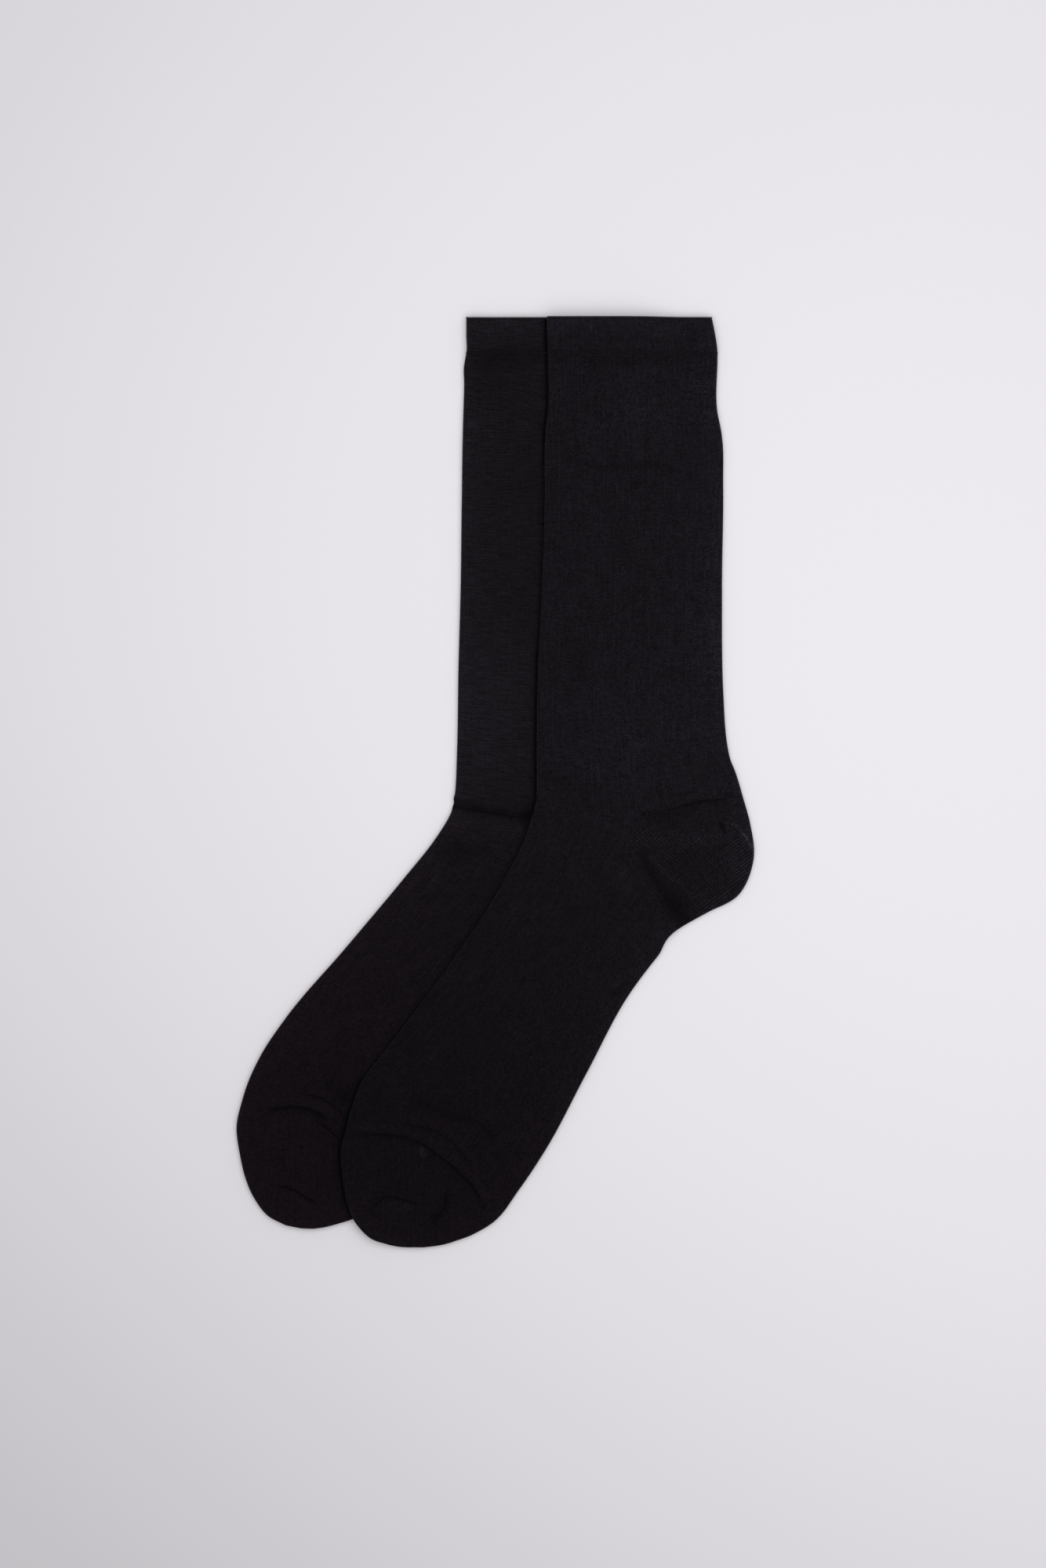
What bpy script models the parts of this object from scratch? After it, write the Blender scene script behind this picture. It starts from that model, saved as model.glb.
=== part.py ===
"""A pair of fine-knit calf socks, laid flat on their sides, one on the other.

Each sock is one knitted tube: a turned welt, the elastic cuff, the leg, the heel pocket, the foot and
the toe pocket with its linking seam. Laid flat, the tube's two layers lie on each other with a narrow
slit between them that opens at the cuff. The under sock lies on the table. The over sock lies on it,
moved towards the heel side, and comes down to the table past the under sock's hidden edge.

The frame: +X towards the heels, +Y towards the cuffs, +Z up from the table. The origin is the middle
of the pair's footprint, at the table. Lengths below are in millimetres.
"""
import math
from collections import namedtuple

import bmesh
import bpy
import numpy as np

MM = 0.001

# The cloth
WALL = 1.0              # one layer of knit, lying relaxed
WELT_WALL = 1.5         # the turned welt: two layers of finer, stretchier knit
SLIT = 0.3              # air between the two layers of a flat tube
REST_GAP = 0.3          # air between the over sock and the under sock

# The over sock's way down to the table, past the under sock's edge
DRAPE_HOLD = 4.0        # it stays up this far past the edge, because the cloth is springy
DRAPE_RUN = 12.0        # then comes down over this length

# How finely the tubes are divided
RING_SPACING = 9.0      # most between two rings along the sock
FOLD_ANGLES = (22.5, 67.5)      # ring points round each folded edge, degrees from its outermost line
NOSE_ANGLES = (30.0, 65.0)      # rings that round off the toe's end
SIDE_BEND = 0.10        # how softly a section bends at its middle, as a share of its width

# Sections from the cuff to the toe. Each runs from the front edge (shin, instep) over the middle of
# the side to the back edge (calf, heel, sole). In the heel pocket they fan out from the gore's corner,
# and in the foot they keep an equal distance from one another along all three lines.
Section = namedtuple("Section", "name front_x front_y middle_x middle_y back_x back_y")

OVER_SECTIONS = (
    Section("mouth", 22.5, 204.5, 59.0, 204.5, 95.0, 204.5),
    Section("welt_middle", 22.5, 197.0, 59.5, 197.0, 96.5, 197.0),
    Section("welt_end", 23.0, 189.0, 60.0, 189.0, 97.5, 189.0),
    Section("cuff_start", 23.0, 186.5, 60.0, 186.5, 97.5, 186.5),
    Section("cuff_end", 23.0, 163.0, 60.0, 163.0, 97.5, 163.0),
    Section("leg_start", 22.0, 155.5, 60.5, 155.5, 99.0, 155.5),
    Section("calf", 21.5, 123.5, 60.5, 123.5, 100.0, 130.5),
    Section("shin", 20.0, 78.5, 60.0, 82.0, 99.5, 85.5),
    Section("low_leg", 18.5, 47.5, 59.0, 44.0, 100.0, 41.0),
    Section("ankle", 18.0, 16.5, 60.5, 13.0, 102.5, 13.0),
    Section("heel_top", 18.0, -7.0, 63.0, -13.5, 108.5, -5.5),
    Section("heel_back", 18.0, -8.0, 63.0, -15.5, 112.0, -18.5),
    Section("heel_tip", 17.5, -9.5, 63.0, -17.0, 113.5, -32.5),
    Section("heel_base", 17.0, -11.0, 63.0, -19.0, 106.5, -49.5),
    Section("heel_sole", 17.0, -12.5, 63.0, -20.5, 93.0, -57.0),
    Section("heel_end", 16.5, -13.5, 63.0, -22.5, 83.0, -62.5),
    Section("arch", 11.5, -27.5, 51.0, -39.0, 71.0, -76.5),
    Section("waist", 1.5, -46.5, 39.0, -56.0, 59.0, -92.5),
    Section("ball", -21.5, -81.5, 15.5, -90.5, 40.0, -127.5),
    Section("tread", -47.0, -115.5, -8.0, -125.0, 21.5, -162.0),
    Section("toe_root", -59.5, -132.5, -20.0, -141.5, 10.5, -178.5),
    Section("toe_seam", -66.0, -153.0, -31.5, -159.0, -1.5, -193.5),
    Section("toe_side", -68.0, -162.0, -34.5, -169.5, -10.0, -198.5),
    Section("toe_middle", -67.0, -174.0, -37.5, -180.0, -16.5, -201.0),
    Section("toe_round", -65.0, -185.0, -40.0, -189.0, -23.0, -203.0),
    Section("toe_low", -61.0, -194.0, -41.0, -196.5, -29.0, -204.0),
    Section("toe_end", -54.5, -200.5, -41.5, -201.0, -32.5, -204.0),
    Section("tip", -47.5, -202.5, -41.5, -203.5, -36.0, -203.5),
)

# The same sock laid the same way, but with the foot turned out about five degrees further.
UNDER_SECTIONS = (
    Section("mouth", -13.0, 204.5, 23.0, 204.5, 59.0, 204.5),
    Section("welt_middle", -13.0, 197.0, 23.5, 197.0, 60.5, 197.0),
    Section("welt_end", -13.0, 189.0, 24.0, 189.0, 61.5, 189.0),
    Section("cuff_start", -13.5, 186.5, 24.0, 186.5, 61.5, 186.5),
    Section("cuff_end", -14.0, 172.0, 24.0, 163.0, 61.5, 163.0),
    Section("leg_start", -14.5, 155.5, 24.5, 155.5, 63.5, 155.5),
    Section("calf", -15.0, 123.5, 24.5, 123.5, 64.0, 130.5),
    Section("shin", -15.5, 85.5, 23.5, 82.0, 63.0, 85.5),
    Section("low_leg", -16.5, 47.5, 23.5, 44.0, 64.0, 41.0),
    Section("ankle", -17.0, 16.5, 24.5, 13.0, 66.0, 13.0),
    Section("heel_top", -18.0, -4.5, 27.0, -13.0, 72.0, -5.5),
    Section("heel_back", -18.5, -6.5, 27.0, -14.5, 76.0, -18.5),
    Section("heel_tip", -18.5, -8.0, 27.0, -17.0, 77.5, -33.0),
    Section("heel_base", -18.5, -9.0, 27.0, -19.0, 69.0, -50.5),
    Section("heel_sole", -19.0, -10.5, 27.0, -21.0, 57.0, -58.0),
    Section("heel_end", -19.5, -12.5, 26.5, -23.0, 45.5, -63.5),
    Section("arch", -28.0, -26.5, 11.0, -41.5, 26.5, -80.5),
    Section("waist", -40.5, -42.0, -3.5, -54.5, 12.0, -92.5),
    Section("ball", -66.5, -73.0, -30.0, -84.0, -9.5, -122.5),
    Section("tread", -92.5, -103.5, -54.0, -116.0, -28.0, -155.0),
    Section("toe_root", -103.5, -120.0, -64.5, -132.0, -37.5, -171.0),
    Section("toe_seam", -111.5, -139.5, -77.5, -148.0, -51.0, -185.0),
    Section("toe_side", -114.0, -151.5, -79.0, -158.5, -57.0, -189.5),
    Section("toe_middle", -112.5, -163.5, -81.0, -168.5, -62.0, -191.5),
    Section("toe_round", -110.0, -174.0, -82.0, -178.0, -66.5, -193.0),
    Section("toe_low", -106.0, -183.0, -82.5, -186.0, -71.0, -194.5),
    Section("toe_end", -100.0, -190.5, -83.5, -192.0, -75.5, -196.0),
    Section("tip", -93.0, -194.0, -85.5, -195.0, -79.5, -195.5),
)

# Swellings where the pockets hold more cloth than lies flat: an oval pad each.
Pad = namedtuple("Pad", "name x y length width turn_deg height")

OVER_PADS = (
    Pad("heel_pocket", 89.0, -33.0, 56.0, 40.0, -50.0, 1.0),
    Pad("toe_pocket", -41.0, -181.0, 50.0, 46.0, 90.0, 0.6),
)
UNDER_PADS = (
    Pad("heel_pocket", 52.0, -34.0, 56.0, 40.0, -50.0, 0.6),
    Pad("toe_pocket", -86.0, -171.0, 46.0, 42.0, 90.0, 0.6),
)

# Creases, seams and ridges: a row for each, along a bow through three points. Height is below zero
# for a trough.
Fold = namedtuple("Fold", "name from_x from_y over_x over_y to_x to_y width height")

OVER_FOLDS = (
    Fold("heel_top_line", 62.0, -15.0, 84.0, -10.5, 106.0, -8.5, 7.0, -0.4),
    Fold("heel_gore", 96.0, -16.0, 105.0, -18.5, 112.0, -27.0, 7.0, 0.4),
    Fold("heel_ridge", 66.5, -32.0, 78.5, -43.0, 91.0, -54.0, 7.0, 0.5),
    Fold("heel_trough", 64.0, -32.0, 73.0, -47.5, 83.5, -62.0, 8.0, -0.6),
    Fold("toe_trough", -34.0, -139.5, -19.0, -145.0, -3.0, -154.5, 8.0, -0.3),
    Fold("toe_seam", -58.0, -152.0, -30.0, -155.5, -5.5, -180.5, 7.0, 0.5),
    Fold("toe_seam_foot", -57.0, -157.0, -33.0, -162.0, -8.5, -186.0, 6.0, -0.4),
    Fold("toe_tip_crease", -54.0, -185.5, -44.0, -180.5, -33.0, -186.0, 6.0, -0.4),
)
UNDER_FOLDS = (
    Fold("instep_crease", -18.0, -10.0, 0.0, -12.5, 16.0, -17.0, 8.0, -0.5),
    Fold("instep_ridge", -21.0, -17.0, -3.0, -20.0, 13.0, -25.0, 9.0, 0.3),
    Fold("toe_seam", -98.0, -140.0, -82.0, -139.0, -68.0, -152.5, 7.0, 0.5),
    Fold("toe_seam_foot", -97.0, -145.5, -83.0, -145.0, -70.0, -158.0, 6.0, -0.4),
    Fold("toe_tip_crease", -95.0, -178.5, -87.0, -179.0, -79.5, -185.5, 6.0, -0.4),
)
CREASE_CLEAR = 3.0      # folds of the under sock are pressed flat this close to the over sock

# A sock of the pair: its sections and relief, and how many points cross one side of it
Sock = namedtuple("Sock", "name sections pads folds side_points slit_points")

UNDER_SOCK = Sock("under_sock", UNDER_SECTIONS, UNDER_PADS, UNDER_FOLDS, 15, 7)
OVER_SOCK = Sock("over_sock", OVER_SECTIONS, OVER_PADS, OVER_FOLDS, 21, 8)

YARN_COLOUR = (0.0088, 0.0070, 0.0097, 1.0)     # near-black cotton, linear RGB
YARN_ROUGHNESS = 0.92


def smooth_step(value):
    """0 below 0, 1 above 1, and a soft S between."""
    value = np.clip(value, 0.0, 1.0)
    return value * value * (3.0 - 2.0 * value)


def wall_at(y):
    """The wall's thickness at a height y of the leg: doubled in the welt."""
    welt_end, cuff_start = OVER_SECTIONS[2].front_y, OVER_SECTIONS[3].front_y
    share = np.clip((y - cuff_start) / (welt_end - cuff_start), 0.0, 1.0)
    return WALL + (WELT_WALL - WALL) * share


def laid_thickness(y):
    """Both layers of a flat tube and the slit between them."""
    return 2.0 * wall_at(y) + SLIT


def smooth_rows(sections):
    """The sections and enough between them, as an array of front, middle and back points."""
    points = np.array([row[1:] for row in sections]).reshape(len(sections), 3, 2)
    gaps = np.linalg.norm(np.diff(points, axis=0), axis=2)
    along = np.concatenate([[0.0], np.cumsum(gaps.mean(axis=1))])
    slopes = np.gradient(points, along, axis=0)
    rows = []
    for index, step in enumerate(np.diff(along)):
        count = math.ceil(gaps[index].max() / RING_SPACING)
        for t in np.arange(count) / count:
            rise = t * t * (3.0 - 2.0 * t)
            rows.append(
                points[index] * (1.0 - rise) + points[index + 1] * rise
                + slopes[index] * step * t * (1.0 - t) ** 2
                - slopes[index + 1] * step * t * t * (1.0 - t)
            )
    rows.append(points[-1])
    return np.array(rows)


def soft_ramp(u):
    """0 before the middle of a section, rising evenly to 1 at its back edge, with a soft bend."""
    def bend(value):
        return 0.5 * (value + np.sqrt(value * value + SIDE_BEND ** 2))
    lowest, highest = bend(-1.0), bend(1.0)
    return (bend(2.0 * u - 1.0) - lowest) / (highest - lowest)


def across(row, u):
    """Points at the shares u of the way from a section's front edge to its back edge."""
    to_back = soft_ramp(u)[:, None]
    to_front = soft_ramp(1.0 - u)[:, None]
    front, middle, back = row
    return front * to_front + middle * (1.0 - to_front - to_back) + back * to_back


def outline(rows):
    """The closed outline of a flat sock: down its front edge, round the toe and up its back edge."""
    return np.concatenate([rows[:, 0], rows[-1:, 1], rows[::-1, 2]])


def outside_by(x, y, corners):
    """How far each point lies outside an outline, below zero inside it."""
    point = np.stack([np.ravel(x), np.ravel(y)], axis=1)[:, None]
    start, end = corners[None], np.roll(corners, -1, axis=0)[None]
    side = end - start
    share = ((point - start) * side).sum(2) / np.maximum((side * side).sum(2), 1e-9)
    nearest = start + np.clip(share, 0.0, 1.0)[..., None] * side
    distance = np.linalg.norm(point - nearest, axis=2).min(axis=1)
    spans = (start[..., 1] > point[..., 1]) != (end[..., 1] > point[..., 1])
    rise = np.where(spans, side[..., 1], 1.0)
    crossing = start[..., 0] + side[..., 0] * (point[..., 1] - start[..., 1]) / rise
    inside = (spans & (point[..., 0] < crossing)).sum(1) % 2 == 1
    return np.where(inside, -distance, distance).reshape(np.shape(x))


def pad_height(x, y, pads):
    """The pads' swelling: a soft dome over each oval."""
    height = np.zeros(np.shape(x))
    for pad in pads:
        turn = math.radians(pad.turn_deg)
        along = (x - pad.x) * math.cos(turn) + (y - pad.y) * math.sin(turn)
        aside = (y - pad.y) * math.cos(turn) - (x - pad.x) * math.sin(turn)
        reach = np.hypot(along / (0.5 * pad.length), aside / (0.5 * pad.width))
        height += pad.height * smooth_step(1.0 - reach)
    return height


def fold_height(x, y, folds):
    """The folds' relief: a soft ridge or trough along each bow, running out at its ends."""
    height = np.zeros(np.shape(x))
    t = np.linspace(0.0, 1.0, 25)
    for fold in folds:
        start, over, end = np.array(fold[1:7]).reshape(3, 2)
        pull = 2.0 * over - 0.5 * (start + end)
        bow = (
            start * ((1.0 - t) ** 2)[:, None]
            + pull * (2.0 * t * (1.0 - t))[:, None]
            + end * (t * t)[:, None]
        )
        apart = np.hypot(x[..., None] - bow[:, 0], y[..., None] - bow[:, 1])
        nearest = apart.argmin(axis=-1)
        profile = smooth_step(1.0 - 2.0 * apart.min(axis=-1) / fold.width)
        run_out = smooth_step(np.minimum(t, 1.0 - t)[nearest] * 6.0 + 0.2)
        height += fold.height * profile * run_out
    return height


class FlatSock:
    """One sock's surfaces as heights over the table at any point of its plan."""

    def __init__(self, sock, covered_by=None, rests_on=None):
        self.sock = sock
        self.rows = smooth_rows(sock.sections)
        self.outline = outline(self.rows)
        self.covered_by = covered_by
        self.rests_on = rests_on

    def underside(self, x, y):
        """The table, or the sock beneath and the way down from it."""
        if self.rests_on is None:
            return np.zeros(np.shape(x))
        past_edge = outside_by(x, y, self.rests_on.outline)
        held_up = 1.0 - smooth_step((past_edge - DRAPE_HOLD) / DRAPE_RUN)
        beneath = laid_thickness(y) + pad_height(x, y, self.rests_on.sock.pads)
        return held_up * (beneath + REST_GAP)

    def relief(self, x, y):
        """Pads and folds raised in the upper layer."""
        folds = fold_height(x, y, self.sock.folds)
        if self.covered_by is not None:
            folds = folds * smooth_step(outside_by(x, y, self.covered_by) / CREASE_CLEAR)
        return folds + pad_height(x, y, self.sock.pads)


def side_shares(width, depth, count):
    """Shares of a section's width for one side: round its folded edges, then evenly across."""
    angles = np.radians(FOLD_ANGLES)
    edge = depth * (1.0 - np.cos(angles)) / width
    flat = np.linspace(depth / width, 1.0 - depth / width, count)
    shares = np.concatenate([edge, flat, 1.0 - edge[::-1]])
    heights = np.concatenate([np.sin(angles), np.ones(count), np.sin(angles)[::-1]])
    return shares, heights


def outer_ring(flat_sock, row, push=(0.0, 0.0), squeeze=1.0):
    """One ring of the tube's outside, upper side first, each side from front edge to back edge."""
    width = np.linalg.norm(row[2] - row[0])
    thickness = laid_thickness(row[1, 1])
    shares, heights = side_shares(width, 0.5 * thickness, flat_sock.sock.side_points)
    x, y = (across(row, shares) + push).T
    underside = flat_sock.underside(x, y)
    middle = underside + 0.5 * thickness
    reach = 0.5 * thickness * heights * squeeze
    upper = middle + reach + flat_sock.relief(x, y) * heights * squeeze
    lower = middle - reach
    ring = np.stack([np.stack([x, y, upper], axis=1), np.stack([x, y, lower], axis=1)[::-1]])
    return ring.reshape(-1, 3)


def slit_ring(flat_sock, row):
    """One ring of the slit inside the tube, in the same order."""
    width = np.linalg.norm(row[2] - row[0])
    wall = float(wall_at(row[1, 1]))
    shares = np.linspace(wall / width, 1.0 - wall / width, flat_sock.sock.slit_points)
    x, y = across(row, shares).T
    floor = flat_sock.underside(x, y) + wall
    ring = np.stack([np.stack([x, y, floor + SLIT], axis=1), np.stack([x, y, floor], axis=1)[::-1]])
    return ring.reshape(-1, 3)


def join_rings(mesh, rings):
    """Skin a run of rings that have equal point counts."""
    for near, far in zip(rings, rings[1:]):
        for index in range(len(near)):
            after = (index + 1) % len(near)
            mesh.faces.new((near[index], near[after], far[after], far[index]))


def close_ring(mesh, ring):
    """Close a flat tube's end by joining its upper points to the lower ones beneath them."""
    last = len(ring) - 1
    for index in range(last // 2):
        mesh.faces.new((ring[index], ring[index + 1], ring[last - index - 1], ring[last - index]))


def join_mouth(mesh, outer, inner):
    """The rim at the mouth, between rings of different point counts."""
    half, inner_half = len(outer) // 2, len(inner) // 2
    share = np.linspace(0.0, 1.0, half)
    upper = np.rint(share * (inner_half - 1)).astype(int)
    partner = np.concatenate([upper, len(inner) - 1 - upper[::-1]])
    for index in range(len(outer)):
        after = (index + 1) % len(outer)
        corners = [outer[after], outer[index], inner[partner[index]]]
        if partner[index] != partner[after]:
            corners.append(inner[partner[after]])
        mesh.faces.new(corners)


def sock_mesh(flat_sock):
    """The knitted tube as one closed wall, open at the cuff."""
    mesh = bmesh.new()

    def add_ring(points):
        return [mesh.verts.new(point) for point in points * MM]

    rows = flat_sock.rows
    outer = [add_ring(outer_ring(flat_sock, row)) for row in rows]
    ahead = rows[-1, 1] - rows[-2, 1]
    ahead /= np.linalg.norm(ahead)
    nose = 0.5 * laid_thickness(rows[-1, 1, 1])
    for angle in np.radians(NOSE_ANGLES):
        push = ahead * nose * math.sin(angle)
        outer.append(add_ring(outer_ring(flat_sock, rows[-1], push, math.cos(angle))))
    inner = [add_ring(slit_ring(flat_sock, row)) for row in rows[:-1]]
    join_rings(mesh, outer)
    join_rings(mesh, [ring[::-1] for ring in inner])
    close_ring(mesh, outer[-1])
    close_ring(mesh, inner[-1][::-1])
    join_mouth(mesh, outer[0], inner[0])
    bmesh.ops.recalc_face_normals(mesh, faces=mesh.faces)
    return mesh


def yarn_material():
    material = bpy.data.materials.new("near_black_knit")
    material.use_nodes = True
    shader = material.node_tree.nodes["Principled BSDF"]
    shader.inputs["Base Color"].default_value = YARN_COLOUR
    shader.inputs["Roughness"].default_value = YARN_ROUGHNESS
    shader.inputs["Metallic"].default_value = 0.0
    return material


def centre_footprint(meshes):
    """Move the pair so that the middle of its footprint is at the origin."""
    corners = np.array([vertex.co for mesh in meshes for vertex in mesh.verts])
    middle = 0.5 * (corners.min(axis=0) + corners.max(axis=0))
    for mesh in meshes:
        bmesh.ops.translate(mesh, verts=mesh.verts, vec=(-middle[0], -middle[1], 0.0))


def add_sock(name, mesh, material):
    data = bpy.data.meshes.new(name)
    mesh.to_mesh(data)
    mesh.free()
    data.materials.append(material)
    data.shade_smooth()
    data.set_sharp_from_angle(angle=math.radians(50.0))
    bpy.context.scene.collection.objects.link(bpy.data.objects.new(name, data))


def main():
    for old in list(bpy.data.objects):
        bpy.data.objects.remove(old, do_unlink=True)
    over_outline = outline(smooth_rows(OVER_SECTIONS))
    under = FlatSock(UNDER_SOCK, covered_by=over_outline)
    over = FlatSock(OVER_SOCK, rests_on=under)
    meshes = [sock_mesh(under), sock_mesh(over)]
    centre_footprint(meshes)
    material = yarn_material()
    for flat_sock, mesh in zip((under, over), meshes):
        add_sock(flat_sock.sock.name, mesh, material)


main()
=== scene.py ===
"""A pair of fine-knit calf socks, laid flat on their sides, one partly over the other.

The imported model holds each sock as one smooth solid. Here each sock becomes its cloth: a thin shell
of the same form, with its welt, pockets, seams and creases, and plain knit in its finish. Rows of
small stitches and loops lie where the knitting machine leaves them.

The tables are in millimetres: +X towards the heels, +Y towards the cuffs, +Z up from the table.
"""

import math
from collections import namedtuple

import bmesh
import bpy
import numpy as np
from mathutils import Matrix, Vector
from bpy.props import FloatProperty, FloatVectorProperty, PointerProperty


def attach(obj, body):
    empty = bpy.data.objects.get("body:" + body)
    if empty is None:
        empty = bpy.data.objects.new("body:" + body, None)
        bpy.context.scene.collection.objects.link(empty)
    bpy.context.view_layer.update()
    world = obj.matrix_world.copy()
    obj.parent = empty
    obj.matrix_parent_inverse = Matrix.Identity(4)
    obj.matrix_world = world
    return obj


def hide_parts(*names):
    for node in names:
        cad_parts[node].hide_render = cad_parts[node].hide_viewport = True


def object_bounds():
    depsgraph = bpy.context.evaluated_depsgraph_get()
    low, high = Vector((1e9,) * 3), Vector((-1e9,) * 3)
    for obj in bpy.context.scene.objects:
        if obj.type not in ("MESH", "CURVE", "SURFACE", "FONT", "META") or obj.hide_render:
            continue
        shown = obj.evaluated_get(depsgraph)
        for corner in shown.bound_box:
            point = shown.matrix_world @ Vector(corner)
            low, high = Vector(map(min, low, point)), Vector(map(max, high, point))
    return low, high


bl_info = {
    "name": "Pair of Calf Socks",
    "version": (1, 0, 0),
    "blender": (4, 5, 0),
    "location": "3D View > Sidebar > Socks",
    "description": "Knits a flat-laid pair of calf socks over their packed solids",
    "category": "Object",
}

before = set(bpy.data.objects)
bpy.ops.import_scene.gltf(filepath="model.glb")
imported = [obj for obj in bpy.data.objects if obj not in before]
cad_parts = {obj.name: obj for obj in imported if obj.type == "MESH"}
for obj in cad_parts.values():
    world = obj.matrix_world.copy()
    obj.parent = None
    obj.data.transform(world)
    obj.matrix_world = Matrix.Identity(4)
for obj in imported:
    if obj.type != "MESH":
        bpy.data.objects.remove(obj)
CAD_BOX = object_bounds()

MM = 0.001


def named_rows(columns, *rows):
    """A table's rows, each with the columns' names."""
    return tuple(columns(*row) for row in rows)


# Sections from the cuff to the toe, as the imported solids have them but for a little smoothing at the
# toe's tip. Each runs from the front edge (shin, instep) over the middle of the side to the back edge
# (calf, heel, sole).
Section = namedtuple("Section", "name front_x front_y middle_x middle_y back_x back_y")

OVER_SECTIONS = named_rows(
    Section,
    ("mouth", 22.5, 204.5, 59, 204.5, 95, 204.5),
    ("welt_middle", 22.5, 197, 59.5, 197, 96.5, 197),
    ("welt_end", 23, 189, 60, 189, 97.5, 189),
    ("cuff_start", 23, 186.5, 60, 186.5, 97.5, 186.5),
    ("cuff_end", 23, 163, 60, 163, 97.5, 163),
    ("leg_start", 22, 155.5, 60.5, 155.5, 99, 155.5),
    ("calf", 21.5, 123.5, 60.5, 123.5, 100, 130.5),
    ("shin", 20, 78.5, 60, 82, 99.5, 85.5),
    ("low_leg", 18.5, 47.5, 59, 44, 100, 41),
    ("ankle", 18, 16.5, 60.5, 13, 102.5, 13),
    ("heel_top", 18, -7, 63, -13.5, 108.5, -5.5),
    ("heel_back", 18, -8, 63, -15.5, 112, -18.5),
    ("heel_tip", 17.5, -9.5, 63, -17, 113.5, -32.5),
    ("heel_base", 17, -11, 63, -19, 106.5, -49.5),
    ("heel_sole", 17, -12.5, 63, -20.5, 93, -57),
    ("heel_end", 16.5, -13.5, 63, -22.5, 83, -62.5),
    ("arch", 11.5, -27.5, 51, -39, 71, -76.5),
    ("waist", 1.5, -46.5, 39, -56, 59, -92.5),
    ("ball", -21.5, -81.5, 15.5, -90.5, 40, -127.5),
    ("tread", -47, -115.5, -8, -125, 21.5, -162),
    ("toe_root", -59.5, -132.5, -20, -141.5, 10.5, -178.5),
    ("toe_seam", -66, -153, -31.5, -159, -1.5, -193.5),
    ("toe_side", -68, -162, -34.5, -169.5, -10, -198.5),
    ("toe_middle", -67, -174, -37.5, -180, -16.5, -201),
    ("toe_round", -65, -185, -40, -189, -23, -203),
    ("toe_low", -61, -194, -41, -196.5, -29, -203.9),
    ("toe_end", -54.5, -200.4, -41.5, -201, -32.5, -204.2),
    ("tip", -47.5, -202.8, -41.5, -203.8, -36.5, -204.1),
)

UNDER_SECTIONS = named_rows(
    Section,
    ("mouth", -13, 204.5, 23, 204.5, 59, 204.5),
    ("welt_middle", -13, 197, 23.5, 197, 60.5, 197),
    ("welt_end", -13, 189, 24, 189, 61.5, 189),
    ("cuff_start", -13.5, 186.5, 24, 186.5, 61.5, 186.5),
    ("cuff_end", -14, 172, 24, 163, 61.5, 163),
    ("leg_start", -14.5, 155.5, 24.5, 155.5, 63.5, 155.5),
    ("calf", -15, 123.5, 24.5, 123.5, 64, 130.5),
    ("shin", -15.5, 85.5, 23.5, 82, 63, 85.5),
    ("low_leg", -16.5, 47.5, 23.5, 44, 64, 41),
    ("ankle", -17, 16.5, 24.5, 13, 66, 13),
    ("heel_top", -18, -4.5, 27, -13, 72, -5.5),
    ("heel_back", -18.5, -6.5, 27, -14.5, 76, -18.5),
    ("heel_tip", -18.5, -8, 27, -17, 77.5, -33),
    ("heel_base", -18.5, -9, 27, -19, 69, -50.5),
    ("heel_sole", -19, -10.5, 27, -21, 57, -58),
    ("heel_end", -19.5, -12.5, 26.5, -23, 45.5, -63.5),
    ("arch", -28, -26.5, 11, -41.5, 26.5, -80.5),
    ("waist", -40.5, -42, -3.5, -54.5, 12, -92.5),
    ("ball", -66.5, -73, -30, -84, -9.5, -122.5),
    ("tread", -92.5, -103.5, -54, -116, -28, -155),
    ("toe_root", -103.5, -120, -64.5, -132, -37.5, -171),
    ("toe_seam", -111.5, -139.5, -77.5, -148, -51, -185),
    ("toe_side", -114, -151.5, -79, -158.5, -57, -189.5),
    ("toe_middle", -112.5, -163.5, -81, -168.5, -62, -191.5),
    ("toe_round", -110, -174, -82, -178, -66.5, -193),
    ("toe_low", -106, -183, -82.5, -186, -71, -194.3),
    ("toe_end", -100, -190.5, -83.5, -192, -75.5, -195.4),
    ("tip", -93, -194.2, -85.5, -195.6, -79.5, -195.9),
)

# What the machine knits from each section on: how closely the rings lie, and one course's height
Zone = namedtuple("Zone", "name starts_at ring_spacing course")

ZONES = named_rows(
    Zone,
    ("welt", "mouth", 0.7, 0.9),
    ("cuff", "cuff_start", 1, 1.16),
    ("leg", "leg_start", 1.6, 0.82),
    ("heel", "heel_top", 0.8, 0.82),
    ("foot", "arch", 1.3, 0.82),
    ("toe", "toe_root", 0.8, 0.8),
)

# How finely the tubes are divided across, and how they bend
UPPER_POINTS = 104              # across the upper side, between its rounded edges
LOWER_POINTS = 30               # across the side that lies down
SLIT_POINTS = 22                # across each side of the slit inside
SLIT_STEP = 4                   # the slit has a ring for each so many of the outside's
FOLD_ANGLES = (9, 27, 45, 63, 81)       # ring points round each folded edge, degrees
NOSE_ANGLES = (18, 36, 54, 72)  # rings that round off the toe's end, degrees
NOSE_REACH = 0.25               # how far they reach past the last section
RIM_ANGLES = (30, 60, 90, 120, 150)     # rings that turn the welt over at the mouth, degrees
TURN_COURSES = 0.4              # knit courses from each of those rings to the next
SIDE_BEND = 0.10                # how softly a section bends at its middle, as a share of its width
WALES_A_SIDE = 78               # knit columns on each side of the flat tube

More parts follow.
